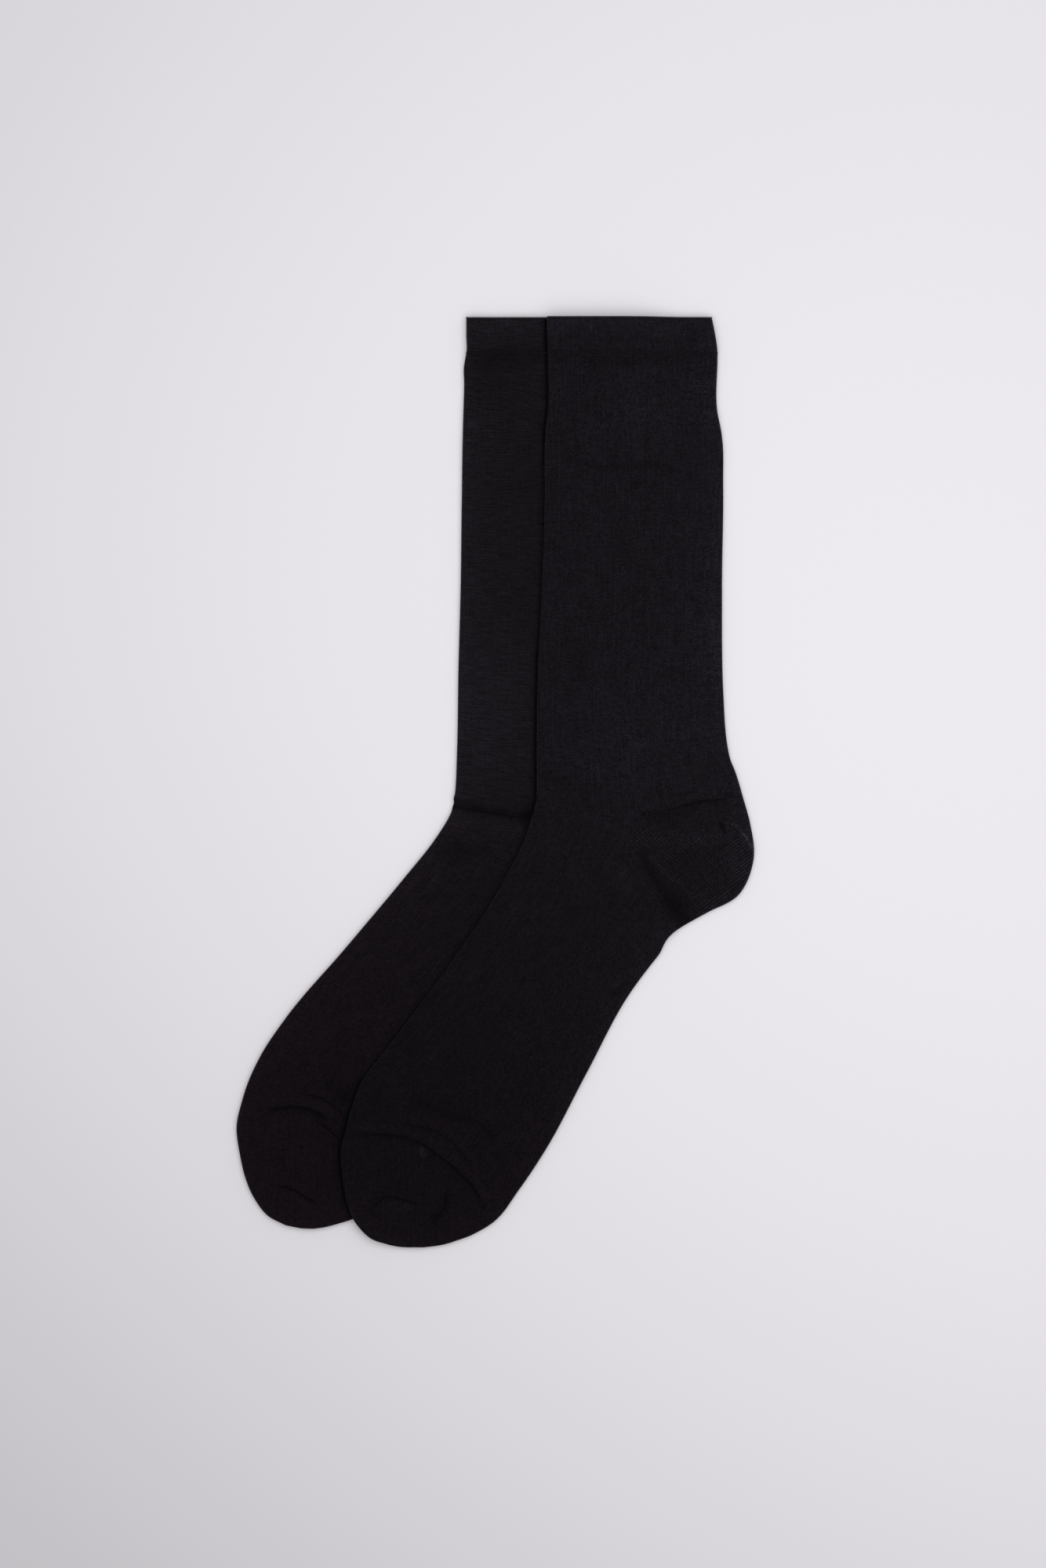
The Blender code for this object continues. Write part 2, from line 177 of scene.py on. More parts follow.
# How the laid cloth bends and swells
DRAPE_HOLD = 2.0                # past the under sock's edge the over sock stays up for so much,
DRAPE_RUN = 22.0                # and then comes down to the table over so much
DEEPEST_CREASE = -1.5           # a crease presses the two layers no closer than this
CREASE_UNEVEN = 0.18            # creases vary by this share along their length,
CREASE_WAVE = 0.55              # at this many radians a millimetre,
CREASE_STEP = 1.7               # and each next one starts so much further on
RIPPLE_LENGTHS = (16.0, 60.0)   # shortest and longest waves of the laid cloth's ripple
FINE_LENGTHS = (5.0, 12.0)      # and of a finer one,
FINE_SHARE = 0.25               # which is so much lower
ROLL_INSIDE = 3.0               # folded edges swell most this far in,
ROLL_REACH = 5.0                # and this far to both sides of that
GAPE_LENGTH = 16.0              # the mouth stands open this far down the cuff,
GAPE_EDGE = 20.0                # and closes over this width at its folded edges
CREASE_CLEAR = 3.0              # the under sock's creases are pressed flat this close to the over sock

# How its light and shade run out
SEAM_REACH = 2.4                # thin seams are known to the points this near to them
SEAM_FADE = 0.96                # and their tone fades over this width before that
END_FADE = 3.0                  # dark lines fade over this length at their ends
EDGE_REACH = 7.0                # painted sheen of loose fibre along the open folded edges reaches this far in
COVER_REACH = 3.4               # the under sock's painted shadow reaches this far from the over sock's edge,
# and so dark from the toes up to the cuffs
COVER_PLACES = (-205.0, -145.0, -122.0, -40.0, -18.0, 5.0, 60.0, 130.0, 160.0, 205.0)
COVER_SHADES = (0.75, 0.70, 0.25, 0.25, 0.60, 0.68, 0.60, 0.50, 0.66, 0.80)

# Ovals whose middle is so much higher than the cloth around, or so much lighter than the knit around in
# painted light and shade
Oval = namedtuple("Oval", "name x y length width turn_deg rise")

# Swellings where the cloth holds air
OVER_PADS = named_rows(
    Oval,
    ("heel_pocket", 89, -33, 56, 40, -50, 1),
    ("toe_pocket", -41, -181, 50, 46, 90, 0.6),
    ("cuff_swell", 60, 152, 34, 24, 12, 0.35),
    ("shin_swell", 46, 84, 62, 40, 80, 0.25),
    ("ankle_swell", 52, 18, 46, 34, 70, 0.3),
    ("ball_swell", 8, -104, 64, 44, 56, 0.25),
)
UNDER_PADS = named_rows(
    Oval,
    ("heel_pocket", 52, -34, 56, 40, -50, 0.6),
    ("toe_pocket", -86, -171, 46, 42, 90, 0.6),
)

# Lines on the cloth, through listed points
TOE_SEAM = (
    (-56.1, -154.2), (-43.6, -154.8), (-33.6, -157.9), (-25.4, -163.4), (-17.1, -170.3), (-10.9, -176.6),
)
HEEL_TOP = (
    (66, -13.4), (71.2, -12.2), (79.2, -10.6), (86.4, -8.9), (92.3, -7.8), (100.2, -7.2), (104.4, -7.2),
)
OVER_LINES = {
    "welt_fold": ((18, 194.6), (60, 194.8), (102, 194.6)),
    "cuff_dip": ((40, 138.4), (52, 139), (66, 139.4), (80, 138.6)),
    "leg_slant": ((43, 117), (49.5, 111.9), (55, 107)),
    "leg_dimple": ((36.5, 64), (38, 54), (37, 42)),
    "ankle_dip": ((24, 4), (37, 0.4), (50, -5.4)),
    "heel_top": ((62, -14.6), *HEEL_TOP),
    "heel_valley": ((61, -17), (71, -16.4), (81, -15.4), (92, -13.8), (104, -12.8)),
    "gore": ((62, -19.5), (70, -20.2), (79, -20.8), (88, -20.6), (95, -19.6), (98.5, -18.2)),
    "heel_eyelets": ((66.5, -13.3), (71, -12.1), (75, -11.1), (80.5, -9.8)),
    "crest_light": (
        (100.6, -18.2), (102.6, -17.6), (105.3, -18.9), (108.5, -22), (111, -25.6), (113.2, -30.4),
        (115.6, -36.4),
    ),
    "heel_crest": ((98, -15.2), (102.3, -16.3), (106.4, -19.6), (110.2, -23.9), (114.5, -31)),
    "knot_pit": ((98.2, -16.2), (98.9, -18.4), (99.8, -20.4), (101.4, -22)),
    "knot": ((101, -18.6), (101.9, -20.2), (103, -21.6)),
    "pocket_ridge": ((65.5, -31), (67.4, -32.7), (73.7, -38.6), (79.2, -43.4), (84.4, -48.2), (89, -52.2)),
    "pocket_trough": (
        (63.5, -28), (65.2, -31.6), (68.5, -38.6), (72.2, -44.6), (75.4, -50.6), (79.2, -56.1),
        (83.5, -60.4), (88, -65),
    ),
    "foot_swell": ((57, -16), (56.5, -33), (55.5, -50)),
    "toe_seam": ((-62, -154.6), *TOE_SEAM, (-6.7, -183.1), (-4.5, -189)),
    "toe_seam_thin": ((-60, -154.4), *TOE_SEAM[:2], (-36.4, -156.8)),
    "toe_seam_deep": ((-37.4, -156.4), *TOE_SEAM[2:], (-6.4, -183.6)),
    "toe_second": (
        (-43.5, -149.6), (-37.2, -150.2), (-29.1, -151.8), (-21.8, -155.5), (-16.1, -161.2), (-9.6, -171.7),
    ),
    "toe_trough": ((-36, -139.4), (-27.1, -142.1), (-19.5, -145.8), (-8.5, -149.3), (0.5, -156.4)),
    "toe_bump": ((-33.2, -159), (-32, -162.4), (-30.6, -166.2)),
    "toe_bump_run": ((-31, -165), (-33.6, -170.2), (-37.6, -174.8), (-38.4, -179)),
    "tip_hook": ((-54, -186.2), (-50, -182.7), (-47.1, -181.5), (-40.9, -182.6), (-33, -185.4)),
    "tip_round": ((-30, -191), (-24.6, -189.2), (-21.9, -184.1), (-22.4, -179)),
    "tip_side": ((-55.4, -184.4), (-54.6, -187.6), (-53.4, -191)),
}
UNDER_TOE_SEAM = ((-101, -144), (-95.4, -143), (-88.8, -142.4), (-81.2, -143.8))
UNDER_LINES = {
    "cuff_dip": ((-2, 129.6), (10, 129.4), (26, 130)),
    "cuff_ruck": ((-15, 181), (-4, 182.6), (7, 184.6), (20, 184)),
    "cuff_ruck_low": ((-4, 165), (6, 166.6), (17, 163)),
    "instep_crease": (
        (-23, -9.4), (-16, -10.8), (-8, -12.3), (-0.9, -13.4), (7, -14.8), (14.7, -16.2),
        (20, -17.4),
    ),
    "instep_dip": ((-27, -29.6), (-18, -30.2), (-8, -29.8), (-2, -30.6)),
    "cuff_gap": ((21.9, 230), (21.9, 204.5), (22.2, 190), (22.4, 165), (21.4, 155.5), (20.9, 130)),
    "ankle_gap": ((18.6, 66), (17.8, 47.5), (17.3, 16.5), (17.3, -5), (15, -14), (11, -24)),
    "toe_gap": (
        (-56.5, -127), (-60.1, -132.5), (-66.6, -153), (-68.7, -162), (-67.8, -174), (-65.5, -188),
    ),
    "toe_seam": (*UNDER_TOE_SEAM, (-77.1, -145.6), (-73.6, -149)),
    "toe_seam_low": ((-79.8, -147.2), (-77, -149.6), (-72.6, -153.2), (-68.8, -156.7), (-65, -161)),
    "toe_second": ((-86, -137.6), (-80, -137.4), (-74.5, -139.8), (-67.6, -145.2), (-63.4, -149.4)),
    "toe_dip": ((-76, -130.4), (-69.5, -134.4), (-64, -140)),
    "toe_faint": ((-98, -155.8), (-90, -155), (-82, -155.2)),
    "tip_hook": ((-96.5, -177), (-93, -177.4), (-88.8, -179), (-84.7, -181.4), (-78.5, -184.8)),
}

# Troughs (height below zero) and ridges along those lines, so far to the line's left, and the length
# over which they run out at each end
Crease = namedtuple("Crease", "line aside width height run_out")

OVER_CREASES = named_rows(
    Crease,
    ("cuff_dip", 0, 8, -0.3, 8),
    ("leg_slant", 0, 5, -0.12, 5),
    ("leg_dimple", 0, 13, -0.3, 7),
    ("ankle_dip", 0, 10, -0.3, 8),
    ("heel_top", 0, 2.4, -0.3, 6),
    ("heel_top", 2.8, 5, 0.15, 8),
    ("heel_valley", 0, 13, -0.6, 9),
    ("gore", -2.2, 7, 0.4, 6),
    ("gore", 0.6, 1.8, -0.15, 4),
    ("heel_crest", 0, 3.6, 0.6, 4),
    ("heel_crest", 4.2, 6, -0.45, 5),
    ("knot_pit", 0, 2, -0.5, 1.2),
    ("knot", 0, 2.2, 0.55, 1),
    ("pocket_ridge", 0, 3.6, 0.55, 6),
    ("pocket_trough", 0, 12, -1.5, 10),
    ("foot_swell", 0, 13, 0.2, 12),
    ("toe_seam", 0, 2.8, -0.8, 10),
    ("toe_seam", 2.4, 4.6, 0.45, 12),
    ("toe_seam", -2.2, 3.6, 0.15, 12),
    ("toe_second", 0, 2.4, -0.32, 6),
    ("toe_second", 2.2, 4, 0.18, 8),
    ("toe_trough", 0, 7, -0.75, 9),
    ("toe_bump", 0, 2.8, 0.55, 1.6),
    ("toe_bump_run", 0, 2.4, 0.28, 3),
    ("toe_bump_run", 2.4, 3, -0.2, 3),
    ("tip_hook", 0, 2.4, -0.5, 3),
    ("tip_hook", -2.2, 3.6, 0.28, 4),
    ("tip_round", 0, 4, -0.35, 3),
    ("tip_side", 0, 2.2, -0.25, 2),
)
UNDER_CREASES = named_rows(
    Crease,
    ("cuff_dip", 0, 6, -0.28, 7),
    ("cuff_ruck", 0, 11, -0.32, 6),
    ("cuff_ruck_low", 0, 8, -0.18, 6),
    ("instep_crease", 0, 5, -1.3, 3),
    ("instep_crease", 4.6, 7, 0.3, 6),
    ("instep_crease", -4.8, 7, 0.5, 6),
    ("instep_dip", 0, 13, -0.45, 9),
    ("toe_seam", 0, 2.8, -0.8, 4),
    ("toe_seam", 2.6, 4.6, 0.45, 6),
    ("toe_seam_low", 0, 2.2, -0.55, 4),
    ("toe_second", 0, 2.6, -0.4, 4),
    ("toe_second", 2.4, 4, 0.15, 5),
    ("toe_dip", 0, 9, -0.4, 4),
    ("toe_faint", 0, 1.8, -0.14, 5),
    ("tip_hook", 0, 2.6, -0.5, 3),
    ("tip_hook", -2.4, 4, 0.25, 4),
)

# Thin seams and sharp folds, drawn by the finish: darker (tone below zero) or lighter than the knit.
# The seams' drawn-in stitches are dark of their own; the folds' and gaps' dark lines are painted shade, the
# light ones painted highlight.
Seam = namedtuple("Seam", "line tone run_out")

OVER_SEAM_AND_SHADE_LINES = named_rows(
    Seam,
    ("heel_top", -0.85, 8),
    ("crest_light", 2.4, 4),
    ("knot_pit", -0.9, 1.2),
    ("pocket_ridge", 0.3, 9),
    ("toe_seam_thin", -0.6, 7),
    ("toe_seam_deep", -0.95, 3),
    ("toe_second", -0.55, 8),
    ("toe_bump_run", 0.45, 3),
    ("tip_hook", -0.8, 4),
    ("tip_round", -0.55, 4),
    ("tip_side", -0.6, 3),
)
UNDER_SEAM_AND_SHADE_LINES = named_rows(
    Seam,
    ("cuff_gap", -0.95, 20),
    ("ankle_gap", -0.9, 12),
    ("toe_gap", -0.85, 8),
    ("instep_crease", -0.55, 8),
    ("toe_seam", -0.95, 3.5),
    ("toe_seam_low", -0.92, 3),
    ("toe_second", -0.65, 5),
    ("tip_hook", -0.9, 2.5),
)

# Soft bands beside them, darker where the cloth dips and lighter where it swells: painted shade and light
Mark = namedtuple("Mark", "line aside width tone")

OVER_MARKS = named_rows(
    Mark,
    ("cuff_dip", 0, 7, -0.26),
    ("heel_top", -1.6, 7, -0.22),
    ("gore", -4, 12, 0.4),
    ("knot", 0, 4.4, 0.7),
    ("pocket_trough", -0.4, 10, -0.52),
    ("pocket_ridge", 0, 5, 0.2),
    ("foot_swell", 0, 16, 0.14),
    ("leg_dimple", 0, 13, -0.14),
    ("welt_fold", 0, 3.6, -0.16),
    ("toe_trough", 0, 9, -0.38),
    ("toe_seam", -0.6, 5, -0.35),
    ("toe_seam", 3.2, 5, 0.35),
    ("toe_second", 3, 5, 0.2),
    ("toe_bump", 0, 3.6, 0.5),
    ("toe_bump", 3.2, 4, -0.45),
    ("tip_hook", -2.6, 4, 0.4),
    ("tip_round", 0, 7, -0.45),
)
UNDER_MARKS = named_rows(
    Mark,
    ("cuff_dip", 0, 6, -0.2),
    ("instep_crease", 1, 8.5, -0.6),
    ("instep_crease", -6, 8, 0.25),
    ("toe_gap", 0, 8, -0.5),
    ("toe_seam", -0.6, 5, -0.5),
    ("toe_seam", 3.4, 5, 0.35),
    ("toe_dip", 0, 10, -0.4),
    ("tip_hook", -2.8, 4, 0.35),
)

# Ovals of painted light and shade: lighter where the laid cloth swells and catches the light,
# darker in its dips, troughs and gaps; some also stand for knit lying looser and lighter, and tighter and
# darker
OVER_PATCHES = named_rows(
    Oval,
    ("cuff", 58, 158, 56, 46, 0, 0.16),
    ("cuff_light", 61, 170, 64, 24, 84, 0.14),
    ("cuff_back", 80, 176, 40, 30, 90, 0.08),
    ("cuff_shade", 45, 176, 40, 16, 90, -0.14),
    ("under_welt", 60, 186.6, 110, 12, 0, -0.28),
    ("calf_light", 93, 66, 190, 46, 90, 0.13),
    ("low_leg", 61, 13, 96, 88, 0, 0.22),
    ("shin_shade", 35, 58, 34, 18, -60, -0.16),
    ("ankle_shade", 33, 0.5, 42, 20, -12, -0.24),
    ("heel_shade", 75, -14.4, 34, 10, 8, -0.25),
    ("heel_rim", 106, -30, 40, 22, -62, 0.4),
    ("ball_shade", -14, -126, 90, 52, 56, -0.07),
    ("trough_end", 80.4, -55.4, 32, 26, -54, -0.9),
    ("heel_middle", 87, -38, 46, 34, -50, -0.24),
    ("toe_bump", -32.4, -161, 9, 6, -75, 2.00),
    ("tip_light", -42, -187, 18, 9, -8, 0.3),
)
UNDER_PATCHES = named_rows(
    Oval,
    ("welt", 2, 201, 50, 14, 0, 0.2),
    ("under_welt", 3, 187.5, 90, 18, 2, -0.4),
    ("cuff", -6, 175, 46, 44, 90, -0.28),
    ("low_leg", -2, 33, 104, 80, 90, 0.37),
    ("instep_dip", -17, -29.8, 38, 17, -4, -0.5),
    ("instep_corner", 14.4, -14, 18, 10, 70, -0.75),
    ("instep_edge", -57, -61, 104, 26, -128.5, -0.16),
    ("toe_corner", -66, -137.5, 22, 14, 40, -0.6),
)

# The line of stitches that closes the turned welt, all round the cuff
WELT_LINE = 188.95
WELT_GROOVE_WIDTH = 2.0
WELT_GROOVE_DEPTH = 0.45
# its darkness stands for the closing line's drawn-in stitches and for painted shade in its groove
WELT_DARKNESS = 0.55

# The pockets' outlines where the knit changes its direction: along the gore or the seam, then well
# outside the sock's own edge and back
GORE_TOP = (
    (66, -20.2), (72, -20), (79, -20.8), (88, -20.6), (95, -19.6), (98.8, -17.6), (102.3, -16.3),
    (106.4, -19.6), (109.6, -23.4),
)
OVER_HEEL = (
    (59, -21.5), *GORE_TOP, (112, -27.6), (125, -34), (120, -60), (92, -78), (76, -68),
    (70.5, -53), (64.5, -41), (60, -30),
)
OVER_WEDGE = (
    (61, -15.6), *HEEL_TOP, (125, -2), (125, -34), (112, -26), (106.4, -22), (98, -22),
    (61, -22),
)
UNDER_HEEL_SHIFT = (-36.5, -0.5)        # the under sock's heel lies so far from the over sock's
OVER_GORE = (
    *GORE_TOP, (108.6, -26), (104.5, -23.6), (99.5, -23.2), (94, -23.4), (87, -24.4), (79, -24.6),
    (72, -23.6), (66, -22.8),
)
OVER_TOE = (
    (-80, -152), (-62, -154.4), *TOE_SEAM, (-6.7, -183.1), (-2, -196), (0, -215),
    (-80, -215),
)
UNDER_TOE = (
    (-125, -142), *UNDER_TOE_SEAM, (-77, -147), (-72.6, -152.6), (-66, -160), (-57, -172),
    (-48, -190), (-48, -207), (-125, -207),
)


def shifted(corners, shift):
    """The same outline elsewhere."""
    return tuple((x + shift[0], y + shift[1]) for x, y in corners)


# How the knit shows on each leg and in the feet: how much darker, in painted shade, the valleys between the
# wales are,
# how much higher each stitch's middle stands, by how many courses a wale's edges trail its middle,
# how streaky its wales and courses are, and how uneven its single stitches. The under sock's leg,
# pulled straight, shows its courses more than its wales.
KnitLook = namedtuple("KnitLook", "contrast swell lean wales courses uneven")

OVER_LEG_KNIT = KnitLook(0.45, 0.20, 0.90, 0.52, 0.66, 1.10)
UNDER_LEG_KNIT = KnitLook(0.22, 0.32, 0.35, 0.20, 1.00, 0.55)
FOOT_KNIT = KnitLook(0.45, 0.20, 0.90, 0.52, 0.45, 1.25)

Sock = namedtuple(
    "Sock", "node sections pads lines creases seams marks patches wedge heel gore toe knit seed"
)

UNDER_SOCK = Sock(
    "under_sock", UNDER_SECTIONS, UNDER_PADS, UNDER_LINES, UNDER_CREASES, UNDER_SEAM_AND_SHADE_LINES, UNDER_MARKS,
    UNDER_PATCHES,
    *(shifted(corners, UNDER_HEEL_SHIFT) for corners in (OVER_WEDGE, OVER_HEEL, OVER_GORE)),
    UNDER_TOE, UNDER_LEG_KNIT, seed=11,
)
OVER_SOCK = Sock(
    "over_sock", OVER_SECTIONS, OVER_PADS, OVER_LINES, OVER_CREASES, OVER_SEAM_AND_SHADE_LINES, OVER_MARKS,
    OVER_PATCHES, OVER_WEDGE, OVER_HEEL, OVER_GORE, OVER_TOE, OVER_LEG_KNIT, seed=5,
)

# The camera's frame: how large one of its pixels is on the table, and which one is over the pair's middle
MM_PER_PIXEL = 0.345
FRAME_PIXELS = (1334, 2000)
PAIR_PIXEL = (631.78, 998.31)
CAMERA_LENS = 85.0              # millimetres
CAMERA_SENSOR = 36.0


def linear(hex_colour):
    """An sRGB hex colour as linear RGBA."""
    parts = [int(hex_colour[place:place + 2], 16) / 255.0 for place in (1, 3, 5)]
    turned = [part / 12.92 if part <= 0.04045 else ((part + 0.055) / 1.055) ** 2.4 for part in parts]
    return (*turned, 1.0)


# Shapes


def smooth_step(value):
    """0 below 0, 1 above 1, and a soft S between."""
    value = np.clip(value, 0.0, 1.0)
    return value * value * (3.0 - 2.0 * value)


def bell(value):
    """1 at 0, falling softly to 0 at 1 on both sides."""
    return 0.5 + 0.5 * np.cos(np.pi * np.clip(value, -1.0, 1.0))


def between(points, slopes, index, t, step=1.0):
    """A point on the soft curve from one point to the next, at the share t of the way."""
    rise = t * t * (3.0 - 2.0 * t)
    return (
        points[index] * (1.0 - rise) + points[index + 1] * rise
        + slopes[index] * step * t * (1.0 - t) ** 2 - slopes[index + 1] * step * t * t * (1.0 - t)
    )


def smooth_rows(sections):
    """Front, middle and back points of every ring, and the courses knitted down to each.

    Courses are counted round the front, because the heel pocket's own courses turn back in it.
    """
    points = np.array([row[1:] for row in sections]).reshape(len(sections), 3, 2)
    gaps = np.linalg.norm(np.diff(points, axis=0), axis=2)
    round_the_front = gaps[:, :2].mean(axis=1)
    along = np.concatenate([[0.0], np.cumsum(gaps.mean(axis=1))])
    slopes = np.gradient(points, along, axis=0)
    starts = {zone.starts_at: zone for zone in ZONES}
    zone, knitted = ZONES[0], 0.0
    rows, courses = [], []
    for index, step in enumerate(np.diff(along)):
        zone = starts.get(sections[index].name, zone)
        count = math.ceil(gaps[index].max() / zone.ring_spacing)
        for t in np.arange(count) / count:
            rows.append(between(points, slopes, index, t, step))
            courses.append(knitted + t * round_the_front[index] / zone.course)
        knitted += round_the_front[index] / zone.course
    rows.append(points[-1])
    courses.append(knitted)
    return np.array(rows), np.array(courses)


def soft_ramp(u):
    """0 before the middle of a section, rising evenly to 1 at its back edge, with a soft bend."""
    def bend(value):
        return 0.5 * (value + np.sqrt(value * value + SIDE_BEND ** 2))
    lowest, highest = bend(-1.0), bend(1.0)
    return (bend(2.0 * u - 1.0) - lowest) / (highest - lowest)


def across(rows, u):
    """Plan points at the shares u of the way from each ring's front edge to its back edge."""
    to_back = soft_ramp(u)[..., None]
    to_front = soft_ramp(1.0 - u)[..., None]
    front, middle, back = (rows[:, place][:, None] for place in range(3))
    return front * to_front + middle * (1.0 - to_front - to_back) + back * to_back


def outline(rows, step=3):
    """The closed outline of a flat sock, from every so many of its rings."""
    some = rows[::step]
    return np.concatenate([some[:, 0], rows[-1:, 1], some[::-1, 2]])


def beside(x, y, line):
    """How far points lie to the left of a line, how far along it, and the line's length."""
    point = np.stack([np.ravel(x), np.ravel(y)], axis=1)[:, None]
    start, side = line[None, :-1], np.diff(line, axis=0)[None]
    length = np.linalg.norm(side, axis=2)
    share = np.clip(((point - start) * side).sum(2) / length ** 2, 0.0, 1.0)
    away = point - start - share[..., None] * side
    distance = np.linalg.norm(away, axis=2)
    nearest = distance.argmin(axis=1)
    pick = np.arange(len(nearest)), nearest
    turn = side[0, nearest, 0] * away[pick][:, 1] - side[0, nearest, 1] * away[pick][:, 0]
    run = np.concatenate([[0.0], np.cumsum(length[0])])
    along = run[nearest] + share[pick] * length[0, nearest]
    return np.copysign(distance[pick], turn), along, run[-1]


def outside_by(x, y, corners, block=4000):
    """How far each point lies outside an outline, below zero inside it."""
    closed = np.concatenate([corners, corners[:1]])
    start, end = closed[None, :-1], closed[None, 1:]
    flat_x, flat_y = np.ravel(x), np.ravel(y)
    result = np.empty(len(flat_x))
    for first in range(0, len(flat_x), block):
        part = slice(first, first + block)
        distance = np.abs(beside(flat_x[part], flat_y[part], closed)[0])
        at_x, at_y = flat_x[part, None], flat_y[part, None]
        spans = (start[..., 1] > at_y) != (end[..., 1] > at_y)
        rise = np.where(spans, end[..., 1] - start[..., 1], 1.0)
        crossing = start[..., 0] + (end[..., 0] - start[..., 0]) * (at_y - start[..., 1]) / rise
        inside = (spans & (at_x < crossing)).sum(1) % 2 == 1
        result[part] = np.where(inside, -distance, distance)
    return result.reshape(np.shape(x))


def smooth_line(points, spans=6):
    """A soft line through given points."""
    points = np.array(points, float)
    slopes = np.gradient(points, axis=0)
    shares = np.arange(spans) / spans
    line = [between(points, slopes, index, t) for index in range(len(points) - 1) for t in shares]
    return np.array([*line, points[-1]])


def oval_rise(x, y, ovals):
    """A soft dome over each oval."""
    total = np.zeros(np.shape(x))
    for oval in ovals:
        turn = math.radians(oval.turn_deg)
        along = (x - oval.x) * math.cos(turn) + (y - oval.y) * math.sin(turn)
        aside = (y - oval.y) * math.cos(turn) - (x - oval.x) * math.sin(turn)
        reach = np.hypot(along / (0.5 * oval.length), aside / (0.5 * oval.width))
        total += oval.rise * smooth_step(1.0 - reach)
    return total


def close_to(x, y, line, margin):
    """Which points lie in a line's box, widened by a margin."""
    low, high = line.min(axis=0) - margin, line.max(axis=0) + margin
    return (x > low[0]) & (x < high[0]) & (y > low[1]) & (y < high[1])


def crease_height(x, y, lines, creases):
    """The creases' relief, a little uneven along each."""
    height = np.zeros(np.shape(x))
    for index, crease in enumerate(creases):
        line = smooth_line(lines[crease.line])
        near = close_to(x, y, line, abs(crease.aside) + 0.5 * crease.width)
        aside, along, length = beside(x[near], y[near], line)
        profile = bell((aside - crease.aside) / (0.5 * crease.width))
        run_out = smooth_step(np.minimum(along, length - along) / crease.run_out)
        uneven = 1.0 + CREASE_UNEVEN * np.sin(CREASE_WAVE * along + CREASE_STEP * index)
        height[near] += crease.height * profile * run_out * uneven
    return height


def ripple(x, y, seed, shortest, longest, waves=14):
    """The slow unevenness of laid cloth, about 1 high: waves in seeded directions."""
    chance = np.random.default_rng(seed)
    total = np.zeros(np.shape(x))
    for _ in range(waves):
        length = chance.uniform(shortest, longest)
        turn, phase = chance.uniform(0.0, 2.0 * math.pi, 2)
        total += np.sin((x * math.cos(turn) + y * math.sin(turn)) * 2.0 * math.pi / length + phase)
    return total / math.sqrt(0.5 * waves)


